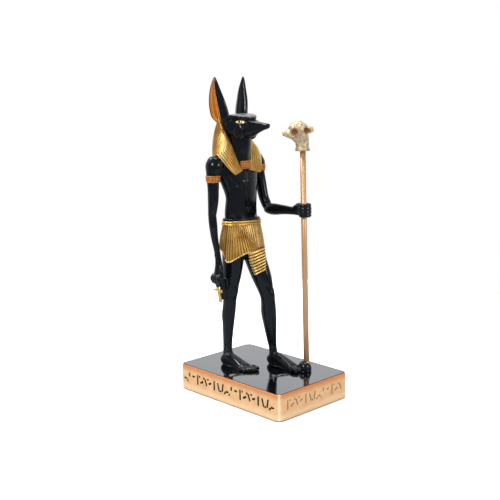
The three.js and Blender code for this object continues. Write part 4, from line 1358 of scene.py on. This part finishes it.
def ear(side):
    """One leaf-shaped ear: rings up its height. Seen from above a ring is an oval outside, with a
    hollow sunk towards its back edge, and two straight slopes with a keel on the inside. The
    hollow's foot sweeps forward."""
    path = between(EAR, 24)
    height = np.linspace(0, 1, len(path))[:, None]
    angle = full_turn(132)[None, :]
    u = np.cos(angle) + 0 * height
    bulge = np.sin(angle)
    keel = 0.8 * bulge - 0.2 * (1 - np.abs(u)) ** 0.8 - 0.16 * bell(u, 0, 0.07)
    foot_turn = 1 - ramp(height, 0.07, 0.19)
    across = (u - 0.3 + 0.24 * foot_turn) / (0.6 + 0.06 * foot_turn)
    low = ramp(height - 0.035 * u, 0.035, 0.09)
    window = ramp(1 - np.abs(across), 0.0, 0.26) * low * (1 - ramp(height, 0.93, 0.99))
    ridges = sum(rise * bell(across, middle, width) for rise, middle, width in EAR_RIDGES)
    outside = bulge - window * (1.25 * bulge - ridges)
    w = np.where(bulge >= 0, outside, keel)
    back = np.array((side * math.sin(EAR_TURN), math.cos(EAR_TURN), 0.0))
    out = np.array((side * math.cos(EAR_TURN), -math.sin(EAR_TURN), 0.0))
    centre = path[:, :3] * (side, 1, 1) + (MID_X, 0, 0)
    lengthways = back * (path[:, 3:4] * u)[..., None]
    rings = centre[:, None] + lengthways + out * (path[:, 4:5] * w)[..., None]
    lining = np.where(bulge >= 0, window, 0.0)
    # Painted shade: the hollow darkens away from its ridges and its edges.
    recess = window * np.clip(1.0 - ridges / 0.16, 0, 1) * ramp(1 - np.abs(across), 0.2, 0.6)
    return skin(rings, layers={"lining": lining, "recess": recess})


# Cloth and ornaments


def headdress():
    """The striped head cloth: a sheet that goes from lappet to lappet round the back. A point is
    the upper edge, bend and lower edge mixed by (1 - s) squared, 2 s (1 - s) and s squared. Locks
    are counted on the lappets by the share of the way from the front edge to a slanting crease,
    and behind it by the way round the middle of the sheet. The sheet steps in behind the crease."""
    sizes = bpy.context.scene.statuette_sizes
    half = between(HOOD, 30)
    share = np.linspace(0, 1, 64)[None, :, None]
    upper, bend, lower = half[:, None, 0:3], half[:, None, 3:6], half[:, None, 6:9]
    points = upper * (1 - share) ** 2 + 2 * bend * share * (1 - share) + lower * share**2
    station = np.linspace(0, len(HOOD) - 1, len(half))[:, None]
    s = share[..., 0]
    crease = station - CREASE["station"] + CREASE["slant"] * s ** CREASE["bow"]
    crease_share = np.clip((CREASE["station"] - station) / CREASE["slant"], 0.02, 1)
    reach = crease_share ** (1 / CREASE["bow"])
    behind = ramp(crease, -0.05, 0.09)
    middle = points[:, points.shape[1] // 2]
    steps = np.linalg.norm(np.diff(middle, axis=0), axis=1)
    around = np.concatenate([[0], np.cumsum(steps)])[:, None] / CREASE["back_pitch"]
    count = np.where(crease > 0, around, sizes.lock_count * s / reach + 0.5)
    cut = groove(count, 0.19)
    line = bell(crease, 0.02, 0.06)
    rim = np.maximum(ramp(s, 0.95, 0.97), 1 - ramp(station, 0.08, 0.16))
    cut = np.maximum(cut * (1 - rim), line)
    step_in = CREASE["step"] * behind * (1 - ramp(crease, 0.4, 2.0))
    lift = -sizes.lock_depth / MM * cut - step_in + 0.1 * rim
    # The recess layer holds the grooves, a darker brown along the lappets' front edge, and painted
    # shade behind the crease.
    front_edge = (1 - ramp(s, 0.02, 0.22)) * ramp(station, 2.0, 3.5) * (1 - behind)
    shade = np.maximum(cut, np.maximum(0.5 * behind, 0.55 * front_edge))
    # Painted highlight: a pale band just in front of the crease.
    painted_highlight = bell(crease, -0.6, 0.5) * (1 - front_edge) * (1 - behind)
    full = np.concatenate([points * (-1, 1, 1), points[-2::-1]]) + (MID_X, 0, 0)
    lift, recess, crest = (np.concatenate([v, v[-2::-1]]) for v in (lift, shade, painted_highlight))
    axis = np.array((MID_X, HOOD_Y))
    flat = full[..., :2] - axis
    outward = np.concatenate([unit(flat), np.zeros_like(flat[..., :1])], -1)
    outer = full + outward * lift[..., None]
    inner = np.concatenate([axis + flat * HOOD_INNER, full[..., 2:]], -1)
    return sheet(outer, inner, {"recess": recess, "crest": crest})


def hip_oval(height, sine, cosine):
    """Distance from the hips' axis to the kilt at an angle: an oval 1 / hypot(sine / half width,
    cosine / reach), whose sizes depend on the height."""
    plan = np.array(KILT_PLAN)
    half_width = np.interp(height, plan[:, 0], plan[:, 1])
    front = np.interp(height, plan[:, 0], plan[:, 2])
    behind = np.interp(height, plan[:, 0], plan[:, 3])
    return 1 / np.hypot(sine / half_width, cosine / np.where(cosine > 0, front, behind))


def waist_rise(angle):
    """How far the waist is lifted at an angle from the front: level + tip * cos(angle - toward)."""
    return WAIST_RISE["level"] + WAIST_RISE["tip"] * np.cos(angle - WAIST_RISE["toward"])


def kilt():
    """The wrapped kilt: rings down to the hem and back up inside. With s the way round in
    millimetres and u the distance behind the wrap's slanting border, a pleat of the upper layer
    starts at the belt at a whole number of pitches and leans more the nearer it starts to the
    border, so s = start + lean(start) * drop, which is solved by repeated halving steps. The
    lower layer's pleats all lean the other way."""
    sizes = bpy.context.scene.statuette_sizes
    columns, rows = 660, 96
    degrees = np.linspace(-180, 180, columns, endpoint=False)
    sine, cosine = np.sin(np.radians(degrees)), np.cos(np.radians(degrees))
    hem_table = np.array(KILT_HEM)
    spread = np.linspace(-5, 5, 21)[:, None]
    folded = np.abs((degrees + spread + 180) % 360 - 180)
    hem = np.interp(folded, hem_table[:, 0], hem_table[:, 1]).mean(axis=0)
    share = np.linspace(0, 1, rows)[:, None]
    top = KILT_TOP + waist_rise(np.radians(degrees))
    z = top + (hem - top) * share
    radius = hip_oval(z, sine, cosine)
    middle = hip_oval(np.full(columns, 79.0), sine, cosine)
    s = np.concatenate([[0], np.cumsum(np.hypot(np.diff(middle * sine), np.diff(middle * cosine)))])
    s = s - np.interp(0, degrees, s)
    border_top, border_foot = np.interp((BORDER["top_angle"], BORDER["foot_angle"]), degrees, s)
    slope = (border_foot - border_top) / (BORDER["top"] - BORDER["foot"])
    drop = BORDER["top"] - z
    u = border_top + slope * drop - s
    over = ramp(u, -0.1, 0.12)
    pitch = sizes.pleat_pitch / MM
    start = s + 0 * drop
    for _ in range(12):
        lean = WRAP["lean"] * slope * drop * ramp(start, border_top - 7, border_top + 2)
        start = 0.5 * start + 0.5 * (s - lean)
    lower_count = (s + WRAP["lower_lean"] * drop) / (pitch * WRAP["lower_pitch"])
    upper_cut = groove(start / pitch, 0.2)
    lower_cut = 1.7 * groove(lower_count, 0.27)
    fade = ramp(share, 0.0, 0.08)
    bead = bell(u, 0.45, 0.42)
    cut = fade * (over * upper_cut * (1 - bead) + (1 - over) * lower_cut)
    shadow = bell(u, -0.3, 0.28)
    rim = ramp(share, 0.965, 0.985)
    side = np.abs(degrees) + 0 * share
    fold = bell(side, KILT_FOLD, 1.6)
    cut = np.maximum(cut * (1 - rim), np.maximum(shadow, fold) * fade)
    behind = fade * ramp(side, KILT_FOLD - 1, KILT_FOLD + 1)
    raised = WRAP["upper"] * over + WRAP["bead"] * bead * fade + WRAP["hem"] * rim
    outer = radius - sizes.pleat_depth / MM * cut + raised - WRAP["back"] * behind
    rings = [np.stack([MID_X + outer * sine, HIP_Y - outer * cosine, z], -1)]
    recess = [np.maximum(cut, 0.5 * behind)]
    # Painted highlight on the crests of the lower layer's pleats, on the hem's rim and on the bead.
    painted_highlight = (1 - over) * (1 - 1.6 * groove(lower_count, 0.33)) + 0.6 * rim + 0.5 * bead
    crest = [np.clip(painted_highlight, 0, 1) * fade]
    for climb, shrink in KILT_INSIDE:
        height = hem + (top - hem) * climb
        inside = hip_oval(height, sine, cosine) - shrink
        rings.append(np.stack([MID_X + inside * sine, HIP_Y - inside * cosine, height], -1)[None])
        recess.append(np.full((1, columns), 0.8))
        crest.append(np.zeros((1, columns)))
    layers = {"recess": np.clip(np.concatenate(recess), 0, 1), "crest": np.concatenate(crest)}
    return skin(np.concatenate(rings), layers=layers)


def belt():
    """The belt: two gold rolls with a groove between them, and a black roll above. Its heights
    follow the lift of the waist."""
    rows = between(BELT, 4)
    angle = np.linspace(-np.pi, np.pi, 200, endpoint=False)
    sine, cosine = np.sin(angle), np.cos(angle)
    z = rows[:, 0:1] + waist_rise(angle)
    radius = hip_oval(z, sine, cosine) + rows[:, 1:2]
    rings = np.stack([MID_X + radius * sine, HIP_Y - radius * cosine, z], -1)
    slots = (rows[:-1, 0] > BELT_GOLD_TOP).astype(int)
    return skin(rings, slots, {"recess": np.clip(rows[:, 2:3] + 0 * radius, 0, 1)})


def tab():
    """The ribbed tab: a tapering sheet, whose ribs are half rounds that narrow to both edges."""
    share = np.linspace(0, 1, 150)[:, None]
    across = np.linspace(-1, 1, 50)[None, :]

    def mix(pair):
        """A value that goes from the tab's top to its foot."""
        return pair[0] + (pair[1] - pair[0]) * share

    half, tilt, turn = mix(TAB["half"]), mix(TAB["tilt"]), np.radians(mix(TAB["turn"]))
    ribs = bpy.context.scene.statuette_sizes.tab_ribs
    wave = np.abs(np.sin(np.pi * ribs * (share + 0.012 * across)))
    rib = wave**0.8 * (1 - np.abs(across) ** 3.5) ** 0.6
    depth = TAB["thin"] + (TAB["thick"] - TAB["thin"]) * rib
    edge = 1 - ramp(np.abs(across), 0.8, 1.0) * 0.7
    width = half * (1 - 0.05 * (1 - wave))
    top, foot_end = np.array(TAB["top"]), np.array(TAB["foot"])
    middle = top + (foot_end - top) * share[..., None]

    def place(y):
        """Places on the tab at a depth behind its middle line."""
        x = across * width
        return np.stack(
            [
                middle[..., 0] + x * np.cos(turn) + y * np.sin(turn),
                middle[..., 1] - x * np.sin(turn) + y * np.cos(turn),
                middle[..., 2] + x * tilt,
            ],
            -1,
        )

    recess = np.clip(1.3 - 1.75 * wave, 0, 1) + 0 * across
    # Painted highlight along the crest of each rib.
    crest = ramp(wave, 0.7, 1.0) + 0 * across
    layers = {"recess": recess, "crest": crest}
    return sheet(place(-depth * edge), place(TAB["back"] + 0 * across), layers)


def armband(stations, height):
    """A band of cells round the upper arm: an oval a little larger than the arm, with a groove
    between cells and a plain rim above and below."""
    path = between(stations, 12)
    order = np.argsort(path[:, 2])
    lower = np.array(BAND_PROFILE)
    rows, swell = between(np.concatenate([lower, lower[-2::-1] * (-1, 1)]), 3).T
    z = height + rows * ARMBAND["height"]
    x0, y0, half_x, half_y = (np.interp(z, path[order, 2], path[order, k]) for k in (0, 1, 3, 4))
    angle = full_turn(260)
    inner = 1 - ramp(np.abs(rows), 0.26, 0.31)
    cut = groove(angle / (2 * np.pi) * ARMBAND["cells"], 0.1)[None, :] * inner[:, None]
    grow = ARMBAND["grow"] * (swell[:, None] - 0.5 * cut)
    rings = np.stack(
        [
            x0[:, None] + (half_x[:, None] + grow) * np.cos(angle),
            y0[:, None] + (half_y[:, None] + grow) * np.sin(angle),
            z[:, None] + 0 * grow,
        ],
        -1,
    )
    line = bell(np.abs(rows), 0.3, 0.03)[:, None]
    return skin(rings, layers={"recess": np.clip(cut + 0.8 * line, 0, 1)})


def collar():
    """The collar between the lappets: a flat band on an arc, with upright cuts and two rims."""
    turn = np.radians(np.linspace(-COLLAR["turn"], COLLAR["turn"], 150))
    section = full_turn(56)[None, :]
    tall = signed_power(np.cos(section), 0.5)
    thick = signed_power(np.sin(section), 0.7)
    inner = 1 - ramp(np.abs(tall), 0.62, 0.7)
    cells = groove(turn[:, None] / np.radians(2 * COLLAR["turn"]) * COLLAR["cells"], 0.07) * inner
    line = bell(np.abs(tall), 0.66, 0.06)
    cut = np.clip(cells + line, 0, 1)
    reach = COLLAR["thick"] * (thick - 0.35 * cut * (thick > 0))
    rings = np.stack(
        [
            MID_X + (COLLAR["across"] + reach) * np.sin(turn[:, None]),
            HOOD_Y - (COLLAR["ahead"] + reach) * np.cos(turn[:, None]),
            COLLAR["z"] + COLLAR["half"] * tall + 0 * reach,
        ],
        -1,
    )
    return skin(rings, layers={"recess": cut * (thick > 0)})


def ankh():
    """The ankh under the right fist: a stem and a bar, both slightly flared to their ends."""
    top, foot_end = np.array(ANKH["top"]), np.array(ANKH["foot"])
    share = np.linspace(0, 1, 7)[:, None]
    stem = top + (foot_end - top) * share
    half = ANKH["half"] + ANKH["stem_flare"] * share**2
    stem_path = np.column_stack([stem, half, half])
    bar_place = np.linspace(-1, 1, 9)[:, None]
    line = np.array(ANKH["bar"]) + bar_place * np.array(ANKH["reach"])
    flare = ANKH["half"] + ANKH["bar_flare"] * np.abs(bar_place) ** 1.5
    bar_path = np.column_stack([line, ANKH["bar_thick"] + 0 * flare, flare])
    paths = (stem_path, bar_path)
    made = joined([skin(carry(path, ACROSS, sides=32, steps=5, square=0.6)) for path in paths])
    made.layers["crest"] = np.full(len(made.points), 0.7)
    return made


# Staff


def bar(profile):
    """A round bar along the rod's line: rings by height and radius."""
    z, radius = np.asarray(profile, float).T
    angle = full_turn(64)
    middle = rod_at(z)
    ring = np.stack([np.cos(angle), np.sin(angle), 0 * angle], -1)
    return skin(middle[:, None] + radius[:, None, None] * ring)


def staff_rod():
    """The rod, its gold ferrule and the two short prongs the ferrule ends in."""
    low = PLINTH_TOP
    even = [(z, ROD_RADIUS) for z in (low + 3.2, 70, ROD_TOP[2])]
    rod = bar([(low + 3.0, 1.0), *even])
    sleeve = [(low + height, radius) for height, radius in FERRULE]
    prongs = []
    for side in (-1, 1):
        path = [rod_at(low + PRONG_TOP) + np.array(step) * (side, side, 1) for step in PRONG]
        prongs.append(finger(path, PRONG_RADIUS, UPWARD + 0.3 * ACROSS))
    foot_parts = joined([bar(between(sleeve, 4)), *prongs])
    foot_parts.slots = np.ones_like(foot_parts.slots)
    return joined([rod, foot_parts])


def staff_axes():
    """The directions along and across the animal's own line."""
    sine, cosine = math.sin(STAFF_HEAD_TURN), math.cos(STAFF_HEAD_TURN)
    return np.array((cosine, sine, 0)), np.array((-sine, cosine, 0))


def staff_place(points):
    """Turns points given along and across the animal's own line into the shared frame."""
    along, aside = staff_axes()
    points = np.asarray(points, float).copy()
    flat = points[..., 0:1] * along[:2] + points[..., 1:2] * aside[:2]
    points[..., :2] = flat + rod_at(STAFF_HEAD_Z)[:2]
    return points


def staff_head():
    """The animal's head on the rod: socket, domed skull, snout and ear lobes fused into one skin,
    with hollows for the eyes and ears."""
    along, aside = staff_axes()
    parts = [
        limb(staff_place(SKULL), along, square=0.9),
        limb(staff_place(SNOUT), aside, sides=36),
        limb(staff_place(SMALL_EAR), aside, sides=36),
    ]
    made = relaxed(fused(parts, bpy.context.scene.statuette_sizes.head_voxel), 4)
    marks = []
    recess = np.zeros(len(made.points))
    for side in (-1, 1):
        for x, y, z in HOLLOWS:
            centre = staff_place((x, y * side, z))
            away = distance(made.points, [centre])
            recess = np.maximum(recess, bell(away, 0, HOLLOW["radius"] * 0.95))
            marks.append((-HOLLOW["depth"], HOLLOW["radius"] * 0.8, centre))
            marks.append((HOLLOW["rim"], HOLLOW["radius"] * 1.5, centre))
        mouth = [(-10.2, 0.7 * side, 130.0), (-7.0, 1.5 * side, 129.4), (-4.5, 2.6 * side, 129.0)]
        marks.append((-0.2, 0.3, *staff_place(mouth)))
    crest = [(-3.0, 0.0, 134.6), (-0.5, 0.0, 136.0)]
    marks.append((0.3, 0.9, *staff_place(crest)))
    made.layers["recess"] = recess
    return pressed(made, marks)


# Plinth


def stroke_ink(along, z, length, start):
    """How deep the strokes are at a place on a side: 1 inside a stroke, 0 outside. Each stroke is
    a short line with round ends; its length, lean and height cycle from one to the next."""
    nearest = np.full(along.shape, np.inf)
    count = int((length - 2 * STROKE["margin"]) // STROKE["pitch"])
    long = (0, count + 1, STROKE_LENGTHS, STROKE_LEANS, STROKE_LIFTS)
    short = (0.5, count, DASH_LENGTHS, DASH_LEANS, DASH_LIFTS)
    for shift, number, lengths, leans, lifts in (long, short):
        for i in range(number):
            kind = (i * 7 + start) % len(lengths)
            if lengths[kind] == 0:
                continue
            lean = math.radians(leans[kind])
            half = max(lengths[kind] - STROKE["width"], 0.1) / 2
            x = along - (i + shift - count / 2) * STROKE["pitch"]
            y = z - STROKE["row"] - lifts[kind]
            lengthways = x * math.sin(lean) + y * math.cos(lean)
            sideways = x * math.cos(lean) - y * math.sin(lean)
            gap = np.hypot(sideways, np.maximum(np.abs(lengthways) - half, 0))
            nearest = np.minimum(nearest, gap)
    return np.clip(0.5 + (STROKE["width"] / 2 - nearest) / STROKE["fade"], 0, 1)


def outline(columns):
    """The plinth's outline from above: straight sides with round corners, as places on it, unit
    directions out of it, and the side and the way along that side of each place."""
    width, depth, corner = PLINTH["width"], PLINTH["depth"], PLINTH["corner"]
    angle = np.linspace(0, 1, 13)[1:-1] * np.pi / 2
    places, facings, sides, alongs = [], [], [], []
    for number in range(4):
        half, reach = (depth / 2, width / 2) if number % 2 else (width / 2, depth / 2)
        straight = half - corner
        line = np.linspace(-straight, straight, int(columns * half / (width + depth)))
        x = np.concatenate([line, straight + corner * np.sin(angle)])
        y = np.concatenate([0 * line, corner * (1 - np.cos(angle))]) - reach
        out_x = np.concatenate([0 * line, np.sin(angle)])
        out_y = np.concatenate([0 * line - 1, -np.cos(angle)])
        rotate = np.array(Matrix.Rotation(math.radians(90 * number), 2))
        places.append(np.stack([x, y], -1) @ rotate.T)
        facings.append(np.stack([out_x, out_y], -1) @ rotate.T)
        sides.append(np.full(len(x), number))
        alongs.append(x)
    return tuple(np.concatenate(parts) for parts in (places, facings, sides, alongs))


def plinth():
    """The block: rings up its sides, over an eased edge and in to the middle of its top. A ring is
    the outline moved in by its inset and then scaled. The sides sink where there is a stroke."""
    place, facing, side, along = outline(1150)
    edge = PLINTH["edge"]
    bend = np.linspace(0, np.pi / 2, 6)
    # Rows lie close at the fine groove and, in a band, where the strokes are.
    side_rows = (2.0, 3.3, 3.5, 3.6, 3.7, 3.9, *np.linspace(4.1, 10.7, 44), 11.2, 12.0)
    rows = [
        (0, 2.0),
        (0, edge),
        *[(edge * (1 - math.cos(a)), edge * (1 - math.sin(a))) for a in bend[1:]],
        *[(z, 0) for z in side_rows],
        *[(PLINTH_TOP - edge * (1 - math.sin(a)), edge * (1 - math.cos(a))) for a in bend],
        (PLINTH_TOP, 1.0),
        (PLINTH_TOP, 1.6),
        (PLINTH_TOP, 2.0),
        (PLINTH_TOP, 2.0),
    ]
    z, inset = np.array(rows, float).T
    scale = np.ones(len(rows))
    scale[-2:] = 0.75, 0.35
    lengths = (PLINTH["width"], PLINTH["depth"])
    ink = np.zeros((len(z), len(place)))
    for number in range(4):
        here = side == number
        across = along[here][None, :] + 0 * z[:, None]
        strokes = stroke_ink(across, z[:, None], lengths[number % 2], number * 3)
        ink[:, here] = strokes * STROKE["inks"][number % 2]
    ink *= ((z > 3.5) & (z < 11.5) & (inset == 0))[:, None]
    # A dark line runs round the top, on the eased edge.
    ink[(z > PLINTH_TOP - 1) & (inset > 0.6 * edge) & (inset <= edge)] = 1
    fine_line = FINE_LINE["depth"] * bell(z, FINE_LINE["z"], FINE_LINE["width"]) * (inset == 0)
    straight = np.where(side % 2 == 0, *lengths) / 2 - PLINTH["corner"]
    # A painted highlight runs down the middle of each rounded corner.
    corner = bell(along - straight, PLINTH["corner"] * math.sqrt(0.5), 0.35)
    sunk = inset[:, None] + STROKE["depth"] * ink + fine_line[:, None]
    flat = (place[None] - facing[None] * sunk[..., None]) * scale[:, None, None]
    rings = np.concatenate([flat, np.broadcast_to(z[:, None, None], (*flat.shape[:2], 1))], -1)
    # The last four strips of faces are the polished top.
    top = (np.arange(len(z) - 1) >= len(z) - 5).astype(int)
    return skin(rings, top, {"ink": ink, "worn": corner + 0 * ink})


# Operators


class STATUETTE_OT_body(Operator):
    """Builds the black lacquered skin, from neck to toes"""

    bl_idname = "statuette.body"
    bl_label = "Body"

    def execute(self, context):
        finish = [black_lacquer()]
        piece("body_upper", upper_body(), finish, "figure")
        piece("body_lower", lower_body(), finish, "figure")
        return {"FINISHED"}


class STATUETTE_OT_head(Operator):
    """Builds the jackal's head and its two ears"""

    bl_idname = "statuette.head"
    bl_label = "Head and ears"

    def execute(self, context):
        piece("jackal_head", head(), [painted_head()], "figure")
        piece("ears", joined([ear(-1), ear(1)]), [painted_ear()], "figure")
        return {"FINISHED"}


class STATUETTE_OT_cloth(Operator):
    """Builds the gold headdress, kilt, belt and tab"""

    bl_idname = "statuette.cloth"
    bl_label = "Headdress and kilt"

    def execute(self, context):
        gold = antique_gold()
        piece("headdress", headdress(), [gold], "figure")
        piece("kilt", kilt(), [gold], "figure")
        piece("belt", belt(), [gold, black_lacquer()], "figure")
        piece("kilt_tab", tab(), [gold], "figure")
        return {"FINISHED"}


class STATUETTE_OT_ornaments(Operator):
    """Builds the armbands, the collar and the ankh"""

    bl_idname = "statuette.ornaments"
    bl_label = "Ornaments"

    def execute(self, context):
        copper = copper_paint()
        bands = joined([armband(RIGHT_ARM, ARMBAND["right"]), armband(LEFT_ARM, ARMBAND["left"])])
        piece("armbands", bands, [copper], "figure")
        piece("collar", collar(), [copper], "figure")
        piece("ankh", ankh(), [antique_gold("ankh_gold_paint", 0.2)], "figure")
        return {"FINISHED"}


class STATUETTE_OT_staff(Operator):
    """Builds the staff's rod, forked foot and animal head"""

    bl_idname = "statuette.staff"
    bl_label = "Staff"

    def execute(self, context):
        piece("rod", staff_rod(), [rose_copper(), antique_gold("ferrule_gold", 0.0)], "staff_rod")
        piece("animal_head", staff_head(), [mottled_gold()], "staff_head")
        return {"FINISHED"}


class STATUETTE_OT_plinth(Operator):
    """Builds the plinth with its row of strokes"""

    bl_idname = "statuette.plinth"
    bl_label = "Plinth"

    def execute(self, context):
        piece("plinth_block", plinth(), [champagne_gilt(), polished_black()], "plinth")
        return {"FINISHED"}


def studio_world():
    """Soft studio surroundings. The camera and matt surfaces see plain white. Glossy ones see a
    white wall behind the figure and a dim, cool room in front with soft boxes: a direction is
    inside a soft box where it lies near the direction to the box's middle."""
    world = bpy.data.worlds.new("studio")
    world.use_nodes = True
    tree = world.node_tree
    tree.nodes.clear()
    heading = add(tree, "ShaderNodeTexCoord").outputs["Generated"]

    def near(direction, low, high, value):
        """A value that rises from 0 as the way looked nears the direction."""
        inputs = {0: heading, 1: direction}
        toward = add(tree, "ShaderNodeVectorMath", inputs, operation="DOT_PRODUCT").outputs["Value"]
        return remap(tree, toward, low, high, 0, value)

    tone = blend_colours(tree, near(WALL, -0.1, 0.75, 1), ROOM_TONE, WHITE)
    strength = 1.0
    for direction, spread, power in SOFT_BOXES:
        edge = math.cos(math.radians(spread))
        inner = math.cos(math.radians(spread * 0.75))
        glow = near(tuple(unit(np.array(direction))), edge, inner, power)
        strength = combined(tree, "ADD", strength, glow)
    white = add(tree, "ShaderNodeBackground", {"Color": WHITE, "Strength": 1.0})
    room = add(tree, "ShaderNodeBackground", {"Color": tone, "Strength": strength})
    seen = add(tree, "ShaderNodeLightPath").outputs
    plain = combined(tree, "MAXIMUM", seen["Is Camera Ray"], seen["Is Diffuse Ray"])
    mixed = add(tree, "ShaderNodeMixShader", {0: plain, 1: room.outputs[0], 2: white.outputs[0]})
    add(tree, "ShaderNodeOutputWorld", {"Surface": mixed.outputs[0]})
    bpy.context.scene.world = world


def soft_light(name, place, size, power):
    """A square area light that faces the middle of the figure."""
    data = bpy.data.lights.new(name, "AREA")
    data.size = size
    data.energy = power
    light = bpy.data.objects.new(name, data)
    light.location = place
    light.rotation_mode = "QUATERNION"
    light.rotation_quaternion = (LIT_POINT - Vector(place)).to_track_quat("-Z", "Y")
    bpy.context.scene.collection.objects.link(light)


def pale_floor():
    """A plain matt floor under the plinth: a disc of rings, white and very slightly grainy. Like
    the room in front it is dimmer to glossy surfaces, so that black lacquer stays black."""
    material, tree, shader, place = start_material("matt_white_floor")
    shade = remap(tree, speckle(tree, place, 40), 0.3, 0.7, 0, 1)
    tone = blend_colours(tree, shade, (0.94, 0.94, 0.94, 1), (0.96, 0.96, 0.96, 1))
    mirrored_ray = add(tree, "ShaderNodeLightPath").outputs["Is Glossy Ray"]
    link(tree, blend_colours(tree, mirrored_ray, tone, FLOOR_TONE), shader, "Base Color")
    shader.inputs["Roughness"].default_value = 0.9
    radius = np.array(FLOOR_RADII)[:, None]
    angle = full_turn(FLOOR_SIDES)[None, :]
    rings = np.stack([radius * np.cos(angle), radius * np.sin(angle), 0 * radius * angle], -1)
    points = np.concatenate([rings.reshape(-1, 3), [(0, 0, 0)]])
    quads = grid_faces(len(FLOOR_RADII), FLOOR_SIDES, True)[:, ::-1]
    here = np.arange(FLOOR_SIDES)
    middle = np.full(FLOOR_SIDES, len(points) - 1)
    fan = np.stack([here, (here + 1) % FLOOR_SIDES, middle], -1)
    floor = bpy.data.objects.new("floor", mesh_of("floor", Surface(points, quads, fan)))
    floor.data.materials.append(material)
    bpy.context.scene.collection.objects.link(floor)


class STATUETTE_OT_stage(Operator):
    """Makes the floor, the studio light and the camera"""

    bl_idname = "statuette.stage"
    bl_label = "Stage"

    def execute(self, context):
        pale_floor()
        studio_world()
        for light in LIGHTS:
            soft_light(*light)
        context.scene.view_settings.view_transform = "Standard"
        data = bpy.data.cameras.new("camera")
        data.sensor_width = CAMERA["sensor"]
        data.lens = CAMERA["lens"]
        data.clip_start = 0.01
        camera = bpy.data.objects.new("camera", data)
        axes = Matrix([CAMERA["right"], CAMERA["up"], CAMERA["back"]]).transposed()
        camera.matrix_world = Matrix.Translation(Vector(CAMERA["place"]) * MM) @ axes.to_4x4()
        context.scene.collection.objects.link(camera)
        context.scene.camera = camera
        return {"FINISHED"}


class STATUETTE_PT_panel(Panel):
    """Lists the sizes, colours and builders of the statuette"""

    bl_idname = "STATUETTE_PT_panel"
    bl_label = "Statuette"
    bl_space_type = "VIEW_3D"
    bl_region_type = "UI"
    bl_category = "Statuette"

    def draw(self, context):
        for group in (context.scene.statuette_sizes, context.scene.statuette_colours):
            for name in group.__annotations__:
                self.layout.prop(group, name)
        for operator in OPERATORS:
            self.layout.operator(operator.bl_idname)


OPERATORS = (
    STATUETTE_OT_stage,
    STATUETTE_OT_plinth,
    STATUETTE_OT_body,
    STATUETTE_OT_head,
    STATUETTE_OT_cloth,
    STATUETTE_OT_ornaments,
    STATUETTE_OT_staff,
)
CLASSES = (StatuetteSizes, StatuetteColours, *OPERATORS, STATUETTE_PT_panel)


def register():
    """Registers the classes and hangs both property groups on the scene."""
    for item in CLASSES:
        bpy.utils.register_class(item)
    bpy.types.Scene.statuette_sizes = PointerProperty(type=StatuetteSizes)
    bpy.types.Scene.statuette_colours = PointerProperty(type=StatuetteColours)


def unregister():
    """Takes the property groups and the classes away again."""
    del bpy.types.Scene.statuette_colours
    del bpy.types.Scene.statuette_sizes
    for item in reversed(CLASSES):
        bpy.utils.unregister_class(item)


def main():
    register()
    bpy.ops.statuette.stage()
    bpy.ops.statuette.plinth()
    bpy.ops.statuette.body()
    bpy.ops.statuette.head()
    bpy.ops.statuette.cloth()
    bpy.ops.statuette.ornaments()
    bpy.ops.statuette.staff()
    bpy.context.view_layer.update()


if __name__ == "__main__":
    main()
